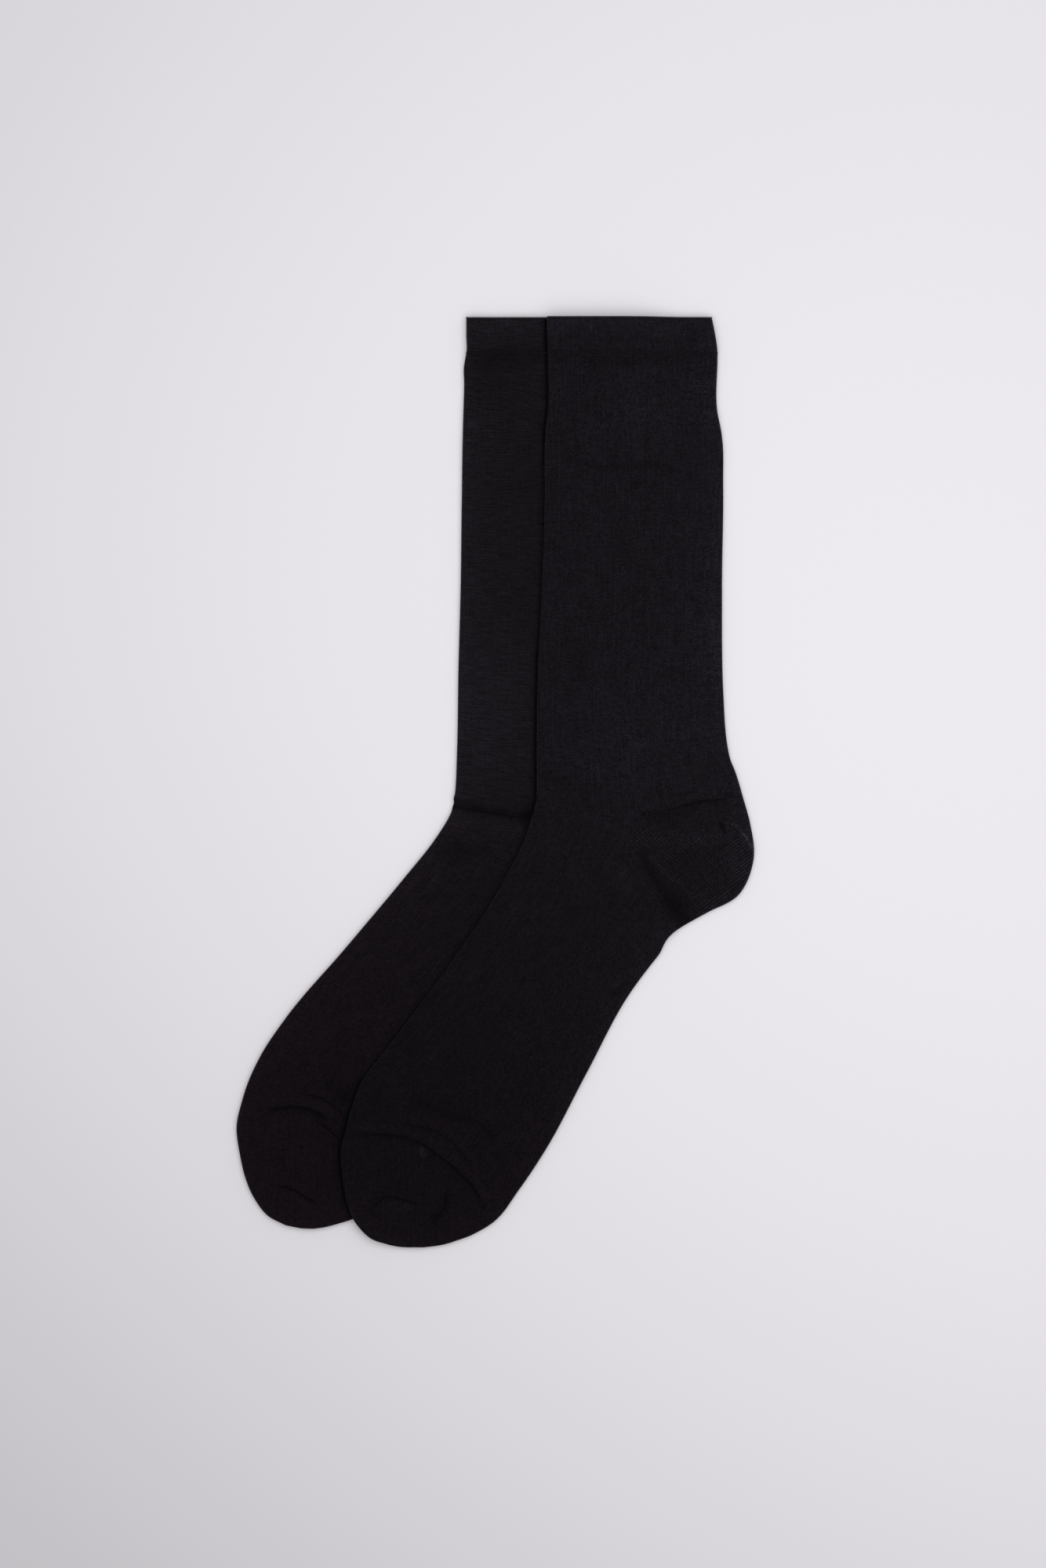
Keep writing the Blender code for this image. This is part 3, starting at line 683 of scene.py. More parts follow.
class FlatSock:
    """One sock's cloth as heights over the table at any point of its plan."""

    def __init__(self, sock, sizes, covered_by=None, rests_on=None):
        self.sock = sock
        self.name = f"{sock.node}_knit"
        self.sizes = sizes
        self.rows, self.courses = smooth_rows(sock.sections)
        self.outline = outline(self.rows)
        self.covered_by = covered_by
        self.rests_on = rests_on

    def wall(self, y):
        """The wall's thickness, doubled in the welt."""
        welt_end, cuff_start = self.sock.sections[2].front_y, self.sock.sections[3].front_y
        share = np.clip((y - cuff_start) / (welt_end - cuff_start), 0.0, 1.0)
        plain, welt = self.sizes.wall / MM, self.sizes.welt_wall / MM
        return plain + (welt - plain) * share

    def course_at(self, name):
        """How many courses are knitted down to a section."""
        middle_y = next(section.middle_y for section in self.sock.sections if section.name == name)
        return float(self.courses[np.abs(self.rows[:, 1, 1] - middle_y).argmin()])

    def thickness(self, y):
        """Both layers and the slit between them."""
        return 2.0 * self.wall(y) + self.sizes.slit / MM

    def underside(self, x, y):
        """The table, or the sock beneath and the way down from it."""
        if self.rests_on is None:
            return np.zeros(np.shape(x))
        past_edge = outside_by(x, y, self.rests_on.outline)
        held_up = 1.0 - smooth_step((past_edge - DRAPE_HOLD) / DRAPE_RUN)
        beneath = self.thickness(y) + oval_rise(x, y, self.rests_on.sock.pads)
        return held_up * (beneath + self.sizes.rest_gap / MM)

    def relief(self, x, y):
        """Everything raised in the upper layer or pressed into it."""
        sock, sizes = self.sock, self.sizes
        free = crease_height(x, y, sock.lines, sock.creases)
        free += sizes.ripple / MM * ripple(x, y, sock.seed, *RIPPLE_LENGTHS)
        free += FINE_SHARE * sizes.ripple / MM * ripple(x, y, sock.seed + 1, *FINE_LENGTHS)
        edge = -outside_by(x, y, self.outline)
        free += sizes.edge_roll / MM * bell((edge - ROLL_INSIDE) / ROLL_REACH)
        free -= WELT_GROOVE_DEPTH * bell(2.0 * (y - WELT_LINE) / WELT_GROOVE_WIDTH)
        open_mouth = 1.0 - smooth_step((sock.sections[0].middle_y - y) / GAPE_LENGTH)
        free += sizes.gape / MM * open_mouth * smooth_step(edge / GAPE_EDGE)
        if self.covered_by is not None:
            free = free * smooth_step(outside_by(x, y, self.covered_by) / CREASE_CLEAR)
        return np.maximum(free + oval_rise(x, y, sock.pads), DEEPEST_CREASE)

    def tone(self, x, y):
        """How light the knit is, around 1: painted sheen at open folded edges, painted shade and light,
        darker drawn-in seams.
        """
        dark = WELT_DARKNESS * bell(2.0 * (y - WELT_LINE) / WELT_GROOVE_WIDTH)
        light = np.zeros(np.shape(x))
        # painted shade where the cloth dips beside a mark, painted light where it swells
        for mark in self.sock.marks:
            change = crease_height(x, y, self.sock.lines, [Crease(*mark, END_FADE)])
            light += np.maximum(change, 0.0)
            dark = np.maximum(dark, -change)
        inside = -outside_by(x, y, self.outline)
        if self.covered_by is not None:
            # painted shadow of the over sock on the under sock, beside its edge
            past_cover = outside_by(x, y, self.covered_by)
            cover_shade = np.interp(y, COVER_PLACES, COVER_SHADES)
            dark = np.maximum(dark, cover_shade * bell(np.maximum(past_cover, 0.0) / COVER_REACH))
            inside = np.maximum(inside, -past_cover)
        if self.rests_on is not None:
            inside = np.maximum(inside, -outside_by(x, y, self.rests_on.outline))
        # painted sheen along the open folded edges
        light += self.sizes.edge_light * np.exp(-inside / EDGE_REACH)
        # painted light and shade of the patches, with some looser and tighter knit
        light += oval_rise(x, y, self.sock.patches)
        return (1.0 + light) * (1.0 - dark)

    def nearest_seam(self, x, y):
        """How far each point lies to the left of the nearest thin seam, and that seam's tone."""
        side = np.full(np.shape(x), SEAM_REACH)
        tone = np.zeros(np.shape(x))
        for seam in self.sock.seams:
            line = smooth_line(self.sock.lines[seam.line])
            near = np.flatnonzero(close_to(x, y, line, SEAM_REACH))
            aside, along, length = beside(x[near], y[near], line)
            closer = np.abs(aside) < np.abs(side[near])
            run_out = smooth_step(np.minimum(along, length - along) / seam.run_out)
            beside_it = smooth_step((SEAM_REACH - np.abs(aside)) / SEAM_FADE)
            side[near[closer]] = aside[closer]
            tone[near[closer]] = (seam.tone * run_out * beside_it)[closer]
        return side, tone

    def marks(self, x, y):
        """What the finish reads at each point: its place by the pockets and seams, and its tone."""
        side, seam_and_shade_tone = self.nearest_seam(x, y)
        sock = self.sock
        pockets = {
            "heel_wedge": sock.wedge, "heel_pocket": sock.heel,
            "heel_gore": sock.gore, "toe_pocket": sock.toe,
        }
        outside = {name: outside_by(x, y, np.array(corners)) for name, corners in pockets.items()}
        return {"seam_side": side, "seam_and_shade_tone": seam_and_shade_tone, **outside, "tone": self.tone(x, y)}


# Meshes


def side_shares(widths, depths, count):
    """Shares of each ring's width for one side: round its folded edges, then evenly across."""
    angles = np.radians(FOLD_ANGLES)
    start = (depths / widths)[:, None]
    edge = start * (1.0 - np.cos(angles))
    flat = start + (1.0 - 2.0 * start) * np.linspace(0.0, 1.0, count)
    shares = np.concatenate([edge, flat, 1.0 - edge[:, ::-1]], axis=1)
    rise = np.concatenate([np.sin(angles), np.ones(count), np.sin(angles)[::-1]])
    return shares, rise


def sock_rings(cloth, rows, counts, inset=None, push=0.0, squeeze=1.0):
    """Closed rings round a sock, upper side first from front to back, and each point's wale.

    inset makes them the slit's, so far inside the edges; push and squeeze round off the toe's end.
    """
    slit = inset is not None
    widths = np.linalg.norm(rows[:, 2] - rows[:, 0], axis=1)
    laid = cloth.thickness(rows[:, 1, 1])
    hollow = inset if slit else np.zeros(len(rows))
    body = laid - 2.0 * hollow
    sides = []
    for count, faces_up in zip(counts, (True, False)):
        shares, rise = side_shares(widths - 2.0 * hollow, 0.5 * body, count)
        margin = (hollow / widths)[:, None]
        shares = margin + shares * (1.0 - 2.0 * margin)
        plan = across(rows, shares) + push * np.sqrt(1.0 - (2.0 * shares - 1.0) ** 2)[..., None]
        x, y = plan[..., 0], plan[..., 1]
        relief = cloth.relief(x, y)
        raised, pressed = np.maximum(relief, 0.0), np.minimum(relief, 0.0)
        middle = cloth.underside(x, y) + 0.5 * laid[:, None]
        reach = 0.5 * body[:, None] * rise * squeeze
        if slit:
            middle = middle + 0.5 * pressed * rise
        if faces_up:
            z = middle + reach + (raised if slit else relief) * rise * squeeze
            wale = WALES_A_SIDE * shares
        else:
            groove = 0.0 if slit else -cloth.sizes.groove_share * pressed
            z = middle - reach + groove * rise * squeeze
            wale = WALES_A_SIDE * (2.0 - shares)
        side = np.stack([x, y, z, wale], axis=2)
        sides.append(side if faces_up else side[:, ::-1])
    whole = np.concatenate(sides, axis=1)
    return whole[..., :3], whole[..., 3]


class Shell:
    """Collects points, faces and the faces' places in the knit: wale across, course along."""

    def __init__(self):
        self.points, self.faces, self.places = [], [], []

    def add(self, points):
        """Adds rings of points and returns their numbers."""
        first = sum(len(part) for part in self.points)
        self.points.append(points.reshape(-1, 3))
        return first + np.arange(len(self.points[-1])).reshape(points.shape[:2])

    def skin(self, rings, wales, courses):
        """Faces between neighbouring rings. The wales go once round, so the last meets the first."""
        after = np.roll(np.arange(rings.shape[1]), -1)
        faces = np.stack([rings[:-1], rings[:-1, after], rings[1:, after], rings[1:]], axis=-1)
        round_wales = np.concatenate([wales, wales[:, :1] + 2 * WALES_A_SIDE], axis=1)
        start, end = round_wales[:-1], round_wales[1:]
        u = np.stack([start[:, :-1], start[:, 1:], end[:, 1:], end[:, :-1]], axis=-1)
        ends = np.stack([courses[:-1], courses[:-1], courses[1:], courses[1:]], axis=-1)
        v = np.broadcast_to(ends[:, None], u.shape)
        self.faces.extend(faces.reshape(-1, 4).tolist())
        self.places.append(np.stack([u, v], axis=-1).reshape(-1, 2))

    def strip(self, near, far, near_wales, far_wales, near_course, far_course):
        """Triangles between two strings of points that may differ in number."""
        near_share, far_share = (np.linspace(0.0, 1.0, len(string)) for string in (near, far))
        i, j, places = 0, 0, []
        while i < len(near) - 1 or j < len(far) - 1:
            near_next = j == len(far) - 1 or (i < len(near) - 1 and near_share[i + 1] <= far_share[j + 1])
            if near_next:
                point, place = near[i + 1], (near_wales[i + 1], near_course)
            else:
                point, place = far[j + 1], (far_wales[j + 1], far_course)
            self.faces.append([int(near[i]), int(point), int(far[j])])
            places += [(near_wales[i], near_course), place, (far_wales[j], far_course)]
            i, j = (i + 1, j) if near_next else (i, j + 1)
        self.places.append(np.array(places))


def add_toe_end(shell, cloth, rows, ring, wales, course, counts):
    """Rounds off the toe's end with smaller rings, then closes it."""
    ahead = rows[-1, 1] - rows[-2, 1]
    ahead = ahead / np.linalg.norm(ahead)
    for angle in np.radians(NOSE_ANGLES):
        push = ahead * NOSE_REACH * math.sin(angle)
        points, next_wales = sock_rings(cloth, rows[-1:], counts, push=push, squeeze=math.cos(angle))
        next_ring = shell.add(points)
        rings, both = np.concatenate([ring, next_ring]), np.concatenate([wales, next_wales])
        shell.skin(rings, both, np.array([course, course + TURN_COURSES]))
        ring, wales, course = next_ring, next_wales, course + TURN_COURSES
    split = counts[0] + 2 * len(FOLD_ANGLES)
    upper, lower = ring[0, :split], ring[0, split:][::-1]
    shell.strip(upper, lower, wales[0, :split], wales[0, :split], course, course)


def add_turned_rim(shell, outer, lip, ring, wales, rim):
    """Turns the welt over into the sock in a half round and returns its inner ring."""
    middle, reach = 0.5 * (outer + lip), 0.5 * (outer - lip)
    course = 0.0
    for angle in np.radians((*RIM_ANGLES, 180)):
        points = middle + reach * math.cos(angle)
        points[..., 1] += rim * math.sin(angle)
        next_ring = shell.add(points)
        rings, both = np.concatenate([next_ring, ring]), np.concatenate([wales, wales])
        shell.skin(rings, both, np.array([course - TURN_COURSES, course]))
        ring, course = next_ring, course - TURN_COURSES
    return ring


def add_slit(shell, cloth, rows, courses, wall, lip, lip_wales, counts):
    """The empty slit inside, in coarser rings, joined to the turned rim and closed at the toe."""
    some = np.arange(SLIT_STEP, len(rows) - 1, SLIT_STEP)
    slit_counts = (SLIT_POINTS, SLIT_POINTS)
    points, wales = sock_rings(cloth, rows[some], slit_counts, inset=wall[some])
    rings = shell.add(points)
    shell.skin(rings, wales, courses[some])
    split = counts[0] + 2 * len(FOLD_ANGLES)
    slit_split = SLIT_POINTS + 2 * len(FOLD_ANGLES)
    last, slit_last = lip.shape[1] - 1, rings.shape[1] - 1
    for near, far in (
        (np.arange(split), np.arange(slit_split)),
        (np.array([split - 1, split]), np.array([slit_split - 1, slit_split])),
        (np.arange(split, last + 1), np.arange(slit_split, slit_last + 1)),
        (np.array([last, 0]), np.array([slit_last, 0])),
    ):
        shell.strip(lip[0, near], rings[0, far], lip_wales[0, near], wales[0, far], 0.0, courses[some[0]])
    upper, lower = rings[-1, :slit_split], rings[-1, slit_split:][::-1]
    end = wales[-1, :slit_split]
    shell.strip(upper, lower, end, end, courses[some[-1]], courses[some[-1]])


def knit_sock(cloth, shift):
    """One sock as a closed thin wall with its knit's map and the marks of its seams and pockets."""
    shell = Shell()
    rows, courses = cloth.rows.copy(), cloth.courses
    wall = cloth.wall(rows[:, 1, 1])
    rim = 0.5 * wall[0]
    rows[0, :, 1] -= rim
    counts = (UPPER_POINTS, LOWER_POINTS)
    outer, wales = sock_rings(cloth, rows, counts)
    rings = shell.add(outer)
    shell.skin(rings, wales, courses)
    add_toe_end(shell, cloth, rows, rings[-1:], wales[-1:], courses[-1], counts)
    lip = sock_rings(cloth, rows[:1], counts, inset=wall[:1])[0]
    lip_ring = add_turned_rim(shell, outer[:1], lip, rings[:1], wales[:1], rim)
    add_slit(shell, cloth, rows, courses, wall, lip_ring, wales[:1], counts)

    points = np.concatenate(shell.points)
    mesh = bpy.data.meshes.new(cloth.name)
    mesh.from_pydata(((points + (*shift, 0.0)) * MM).tolist(), [], shell.faces)
    knit_map = mesh.uv_layers.new(name="knit")
    knit_map.data.foreach_set("uv", np.concatenate(shell.places).ravel())
    for name, marks in cloth.marks(points[:, 0], points[:, 1]).items():
        layer = mesh.attributes.new(name, "FLOAT", "POINT")
        layer.data.foreach_set("value", marks)
    face_outwards(mesh)
    mesh.polygons.foreach_set("use_smooth", [True] * len(mesh.polygons))
    return new_piece(cloth.name, mesh)


def new_piece(name, mesh):
    """An object of the scene, at the origin."""
    piece = bpy.data.objects.new(name, mesh)
    bpy.context.scene.collection.objects.link(piece)
    return piece


def face_outwards(mesh):
    """Turns every face's front to the air."""
    work = bmesh.new()
    work.from_mesh(mesh)
    bmesh.ops.recalc_face_normals(work, faces=work.faces)
    work.to_mesh(mesh)
    work.free()
    mesh.update()


def plan_shift():
    """From the tables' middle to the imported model's."""
    corners = np.concatenate([outline(smooth_rows(s)[0], 1) for s in (UNDER_SECTIONS, OVER_SECTIONS)])
    own = 0.5 * (corners.min(axis=0) + corners.max(axis=0))
    packed = 0.5 * (np.array(CAD_BOX[0]) + np.array(CAD_BOX[1]))[:2] / MM
    return packed - own


def pair_of_cloths(sizes):
    """Both socks' cloth. The under one is pressed flat where the over one covers it."""
    over_rows = smooth_rows(OVER_SECTIONS)[0]
    under = FlatSock(UNDER_SOCK, sizes, covered_by=outline(over_rows))
    over = FlatSock(OVER_SOCK, sizes, rests_on=under)
    return under, over


# Nodes


MATH = "ShaderNodeMath"
VECTOR_MATH = "ShaderNodeVectorMath"
MAP_RANGE = "ShaderNodeMapRange"
ATTRIBUTE = "ShaderNodeAttribute"


def add_node(tree, kind, inputs=(), **settings):
    """Adds a node with its settings and inputs, which are given in their order or by their names.

    An input is fed by a socket, or by a node's first output, or stays at a value.
    """
    node = tree.nodes.new(kind)
    for name, value in settings.items():
        setattr(node, name, value)
    given = inputs if isinstance(inputs, dict) else dict(enumerate(inputs))
    for place, value in given.items():
        if isinstance(value, bpy.types.Node):
            value = value.outputs[0]
        if isinstance(value, bpy.types.NodeSocket):
            tree.links.new(value, node.inputs[place])
        else:
            node.inputs[place].default_value = value
    return node


# Finishes

# How the knit runs in each pocket: the turn of its courses, and a wale's and a course's width
PocketKnit = namedtuple("PocketKnit", "mark turn_deg wale course")

POCKET_KNIT = named_rows(
    PocketKnit,
    ("heel_wedge", 0.0, 1.02, 0.82),
    ("heel_pocket", -53.0, 1.30, 0.82),
    ("heel_gore", 48.0, 1.15, 0.82),
    ("toe_pocket", 0.0, 0.97, 0.80),
)

# The yarn's unevenness: how often it changes with each wale and course, and how far it lightens
Unevenness = namedtuple("Unevenness", "name often strength")

UNEVEN_KNIT = named_rows(
    Unevenness,
    ("knitting_tension", (0.14, 0.11), 0.20),
    ("fluff", (0.70, 0.62), 0.22),
    ("lint", (2.80, 2.40), 2.10),
)
WALE_STREAKS = (0.90, 0.06)     # how often the streaks change with each wale and course
COURSE_STREAKS = (0.13, 1.70)
STITCH_BY_STITCH = 0.70         # how far single stitches differ, lightest less darkest
DARKEST_STITCH = 0.08           # no stitch is darker than this share of the plain one
LEG_SHARE = 0.25                # how much of a rib's height its two separate legs make
STITCH_LEVEL = 0.72             # the rib's height halfway along a stitch
MEAN_HEIGHT = 0.458             # the pattern's own mean
HEEL_CONTRAST = 1.45            # how much darker the valleys' painted shade is in the heel pocket
HEEL_SWELL = 0.40               # and how much higher each stitch's middle stands there
HEEL_BLEND = 1.0                # millimetres to both sides of its outline where that begins
STITCH_HEIGHT = 0.00030         # metres from the valleys to the legs' crests
FLUFF_HEIGHT = 0.00010          # metres that a light stitch stands higher than a dark one
SEAM_HALF_WIDTH = 1.1           # millimetres from a thin seam's middle to its edge
SEAM_DEPTH = 0.00035            # metres that a seam is drawn in
NAP_ROUGHNESS = 0.5             # how widely the loose fibre ends spread the light
LOOPS_A_METRE = 1600.0          # in the tight yarn of a seam
LOOP_SHADES = (0.80, 1.80)      # the darkest and the lightest place on such a loop
LOOP_HEIGHT = 0.00008           # metres that it stands out


def knit_place(tree):
    """Wale and course numbers at each point: along the tube, and straight across the pockets."""
    place = add_node(tree, "ShaderNodeUVMap", uv_map="knit")
    on_table = add_node(tree, "ShaderNodeTexCoord").outputs["Object"]
    for knit in POCKET_KNIT:
        turned = {
            "Vector": on_table,
            "Rotation": (0.0, 0.0, math.radians(knit.turn_deg)),
            "Scale": (knit.wale * MM, knit.course * MM, 1.0),
        }
        pocket_place = add_node(tree, "ShaderNodeMapping", turned, vector_type="TEXTURE")
        outside = add_node(tree, ATTRIBUTE, attribute_name=knit.mark).outputs["Fac"]
        inside = add_node(tree, MATH, [outside, 0.0], operation="LESS_THAN")
        mixed = add_node(tree, "ShaderNodeMix", {0: inside, 4: place, 5: pocket_place}, data_type="VECTOR")
        place = mixed.outputs[1]
    return place


def down_the_tube(tree, ends, leg, foot):
    """One value on the leg and another in the foot, changing evenly between two courses."""
    parts = add_node(tree, "ShaderNodeSeparateXYZ", [add_node(tree, "ShaderNodeUVMap", uv_map="knit")])
    return add_node(tree, MAP_RANGE, [parts.outputs["Y"], *ends, leg, foot])


def in_the_heel(tree, stretched, plain):
    """One value in the heel pocket, where the knit is stretched, and another outside it."""
    outside = add_node(tree, ATTRIBUTE, attribute_name="heel_pocket").outputs["Fac"]
    return add_node(tree, MAP_RANGE, [outside, -HEEL_BLEND, HEEL_BLEND, stretched, plain])


def stitch_height(tree, place, knit):
    """The face of plain knit, 0 to 1: every wale is a rib of two legs, spreading course by course."""
    parts = add_node(tree, "ShaderNodeSeparateXYZ", [place])
    across_wale = add_node(tree, MATH, [parts.outputs["X"], 0.5], operation="PINGPONG")
    rib_angle = add_node(tree, MATH, [across_wale, math.pi], operation="MULTIPLY")
    rib = add_node(tree, MATH, [rib_angle], operation="SINE")
    leg_angle = add_node(tree, MATH, [across_wale, 2.0 * math.pi], operation="MULTIPLY")
    leg = add_node(tree, MATH, [leg_angle], operation="SINE")
    legs = add_node(tree, MATH, [leg, LEG_SHARE], operation="MULTIPLY")
    profile = add_node(tree, MATH, [rib, 1.0 - LEG_SHARE, legs], operation="MULTIPLY_ADD")
    trail = add_node(tree, MATH, [across_wale, knit.lean], operation="MULTIPLY")
    course = add_node(tree, MATH, [trail, 2.0, parts.outputs["Y"]], operation="MULTIPLY_ADD")
    turn = add_node(tree, MATH, [course, 2.0 * math.pi], operation="MULTIPLY")
    wave = add_node(tree, MATH, [turn], operation="COSINE")
    swell = in_the_heel(tree, HEEL_SWELL, knit.swell)
    along = add_node(tree, MATH, [wave, swell, STITCH_LEVEL], operation="MULTIPLY_ADD")
    return add_node(tree, MATH, [profile, along], operation="MULTIPLY")


def leg_shade(tree, height, knit):
    """The ribs' painted light and shade around 1: the valleys between the wales drawn darker."""
    around = add_node(tree, MATH, [height, 1.0 / MEAN_HEIGHT, -1.0], operation="MULTIPLY_ADD")
    contrast = in_the_heel(tree, HEEL_CONTRAST, knit.contrast)
    legs = add_node(tree, MATH, [around, contrast, 1.0], operation="MULTIPLY_ADD")
    return add_node(tree, MATH, [legs, DARKEST_STITCH], operation="MAXIMUM")


def add_unevenness(tree, place, often, strength, shade, seed):
    """The shade with one more unevenness of the yarn laid over it."""
    scale, start = (*often, 1.0), (seed, -seed, 0.0)
    stretched = add_node(tree, VECTOR_MATH, [place, scale, start], operation="MULTIPLY_ADD")
    pattern = {"Vector": stretched, "Scale": 1.0, "Detail": 2.0}
    noise = add_node(tree, "ShaderNodeTexNoise", pattern, noise_dimensions="2D")
    around = add_node(tree, MATH, [noise, 2.0, -1.0], operation="MULTIPLY_ADD")
    return add_node(tree, MATH, [around, strength, shade], operation="MULTIPLY_ADD")


def uneven_shade(tree, place, knit, seed):
    """How light each stitch is, around 1: streaks along wales and courses, tension and fluff."""
    own = add_node(tree, VECTOR_MATH, [place, (seed, seed, 0.0)], operation="ADD")
    cell = add_node(tree, VECTOR_MATH, [own], operation="FLOOR")
    chance = add_node(tree, "ShaderNodeTexWhiteNoise", {"Vector": cell}, noise_dimensions="2D")
    single = [chance, STITCH_BY_STITCH, -0.5 * STITCH_BY_STITCH]
    shade = add_node(tree, MATH, single, operation="MULTIPLY_ADD")
    for part in UNEVEN_KNIT:
        shade = add_unevenness(tree, place, part.often, part.strength, shade, seed)
    shade = add_node(tree, MATH, [shade, knit.uneven, 1.0], operation="MULTIPLY_ADD")
    shade = add_unevenness(tree, place, WALE_STREAKS, knit.wales, shade, seed)
    shade = add_unevenness(tree, place, COURSE_STREAKS, knit.courses, shade, seed)
    return add_node(tree, MATH, [shade, DARKEST_STITCH], operation="MAXIMUM")


def seam_line(tree):
    """The tone of the thin seams and of thin lines of painted shade and highlight: below zero in dark ones,
    above in light ones.
    """
    side = add_node(tree, ATTRIBUTE, attribute_name="seam_side").outputs["Fac"]
    seam_and_shade_tone = add_node(tree, ATTRIBUTE, attribute_name="seam_and_shade_tone").outputs["Fac"]
    away = add_node(tree, MATH, [side], operation="ABSOLUTE")
    reach = {"Value": away, "From Min": SEAM_HALF_WIDTH, "From Max": 0.0}
    profile = add_node(tree, MAP_RANGE, reach, interpolation_type="SMOOTHSTEP")
    return add_node(tree, MATH, [profile, seam_and_shade_tone], operation="MULTIPLY")


def new_finish(name):
    """An empty material and its nodes."""
    material = bpy.data.materials.new(name)
    material.use_nodes = True
    material.node_tree.nodes.clear()
    return material, material.node_tree


def cotton(look):
    """What all the pair's yarn has in common: it is dull, with hardly any shine and a little nap."""
    return {
        "Roughness": look.roughness, "Specular IOR Level": look.shine,
        "Sheen Weight": look.nap, "Sheen Roughness": NAP_ROUGHNESS,
    }


def knitted_yarn(look, cloth):
    """Matt black cotton with elastane, plain-knitted.

    It gives back hardly any light. The eye sees faint grey streaks along the wales, slightly rough
    courses across them, and a dull shine on slopes that face the light.
    """
    material, tree = new_finish("knitted black cotton")
    sock = cloth.sock
    instep = cloth.course_at("heel_back"), cloth.course_at("waist")
    knit = KnitLook(*(down_the_tube(tree, instep, leg, foot) for leg, foot in zip(sock.knit, FOOT_KNIT)))
    place = knit_place(tree)
    height = stitch_height(tree, place, knit)
    unevenness = uneven_shade(tree, place, knit, sock.seed)
    legs = leg_shade(tree, height, knit)
    shade = add_node(tree, MATH, [unevenness, legs], operation="MULTIPLY")
    # tone: the laid cloth's painted sheen, light, shade and shadow, with its drawn-in welt line
    tone = add_node(tree, ATTRIBUTE, attribute_name="tone").outputs["Fac"]
    toned = add_node(tree, MATH, [shade, tone], operation="MULTIPLY")
    # thin seams, and thin lines of painted shade and highlight
    seam = seam_line(tree)
    seam_shade = add_node(tree, MATH, [1.0, seam], operation="ADD")
    seamed = add_node(tree, MATH, [toned, seam_shade], operation="MULTIPLY")
    shaded = add_node(tree, MATH, [seamed, look.depth], operation="MULTIPLY")
    # the foot's darker colour is painted shade: its knit, with wales running another way, sends back less
    # light
    foot_share = down_the_tube(tree, (cloth.course_at("ankle"), cloth.course_at("toe_root")), 0.0, 1.0)
    over = sock is OVER_SOCK
    leg, foot = (look.over_leg, look.over_foot) if over else (look.under_leg, look.under_foot)
    leg_to_foot_colours = {0: foot_share, 6: (*leg, 1.0), 7: (*foot, 1.0)}
    leg_to_foot_colour = add_node(tree, "ShaderNodeMix", leg_to_foot_colours, data_type="RGBA").outputs[2]
    colour = add_node(tree, VECTOR_MATH, {0: leg_to_foot_colour, 3: shaded}, operation="SCALE")
    stitches = add_node(tree, "ShaderNodeBump", {"Height": height, "Distance": STITCH_HEIGHT})
    fluff = {"Height": unevenness, "Distance": FLUFF_HEIGHT, "Normal": stitches}
    fluffed = add_node(tree, "ShaderNodeBump", fluff)
    bump = add_node(tree, "ShaderNodeBump", {"Height": seam, "Distance": SEAM_DEPTH, "Normal": fluffed})
    yarn = add_node(tree, "ShaderNodeBsdfPrincipled", {
        "Base Color": colour, "Normal": bump, "Specular Tint": (*look.shine_colour, 1.0), **cotton(look),
    })
    add_node(tree, "ShaderNodeOutputMaterial", {"Surface": yarn})
    return material


def seam_yarn(look):
    """The same cotton, drawn tight in a seam: a little darker, each loop rounded."""
    material, tree = new_finish("tight black cotton")
    place = add_node(tree, "ShaderNodeTexCoord").outputs["Object"]
    noise = add_node(tree, "ShaderNodeTexNoise", {"Vector": place, "Scale": LOOPS_A_METRE, "Detail": 2.0})
    darkest, lightest = (part * look.depth for part in LOOP_SHADES)
    shade = add_node(tree, MAP_RANGE, {"Value": noise, "To Min": darkest, "To Max": lightest})
    colour = add_node(tree, VECTOR_MATH, {0: (*look.over_leg,), 3: shade}, operation="SCALE")
    bump = add_node(tree, "ShaderNodeBump", {"Height": noise, "Distance": LOOP_HEIGHT})
    cloth = {"Base Color": colour, "Normal": bump, **cotton(look)}
    yarn = add_node(tree, "ShaderNodeBsdfPrincipled", cloth)
    add_node(tree, "ShaderNodeOutputMaterial", {"Surface": yarn})
    return material


# Rows of stitches

# Where each row runs, how far it stands proud, and the size, spacing and slant of its stitches
StitchRow = namedtuple("StitchRow", "name where proud spacing length width slant_deg")

STITCH_ROWS = named_rows(
    StitchRow,
    ("edge_loops", "mouth", 0.0, 0.95, 0.85, 0.55, 78.0),
    ("welt_stitches", "welt", 0.05, 0.95, 0.90, 0.42, 35.0),
    ("toe_linking", "toe_seam", -0.25, 0.97, 0.95, 0.40, 32.0),
    ("heel_eyelets", "heel_eyelets", 0.22, 1.50, 1.90, 0.72, 55.0),
)
STITCH_SWING_DEG = 9.0          # a stitch's slant varies by so much to both sides
STITCH_SHAPE = {"Segments": 8, "Rings": 6, "Radius": 0.5}
ROUND_ROW_POINTS = 900          # points across each side of a row that runs round the sock
SEAM_ROW_SPANS = 24             # points from each of a seam's own to the next
MOUTH_SET_BACK = 0.02           # millimetres from the rim down to the middle of the mouth's loops
MOUTH_CLEAR = 1.0               # those loops may lie so many millimetres past the rim
ROW_EDGE = 0.03                 # rows end so many millimetres inside the folded edge


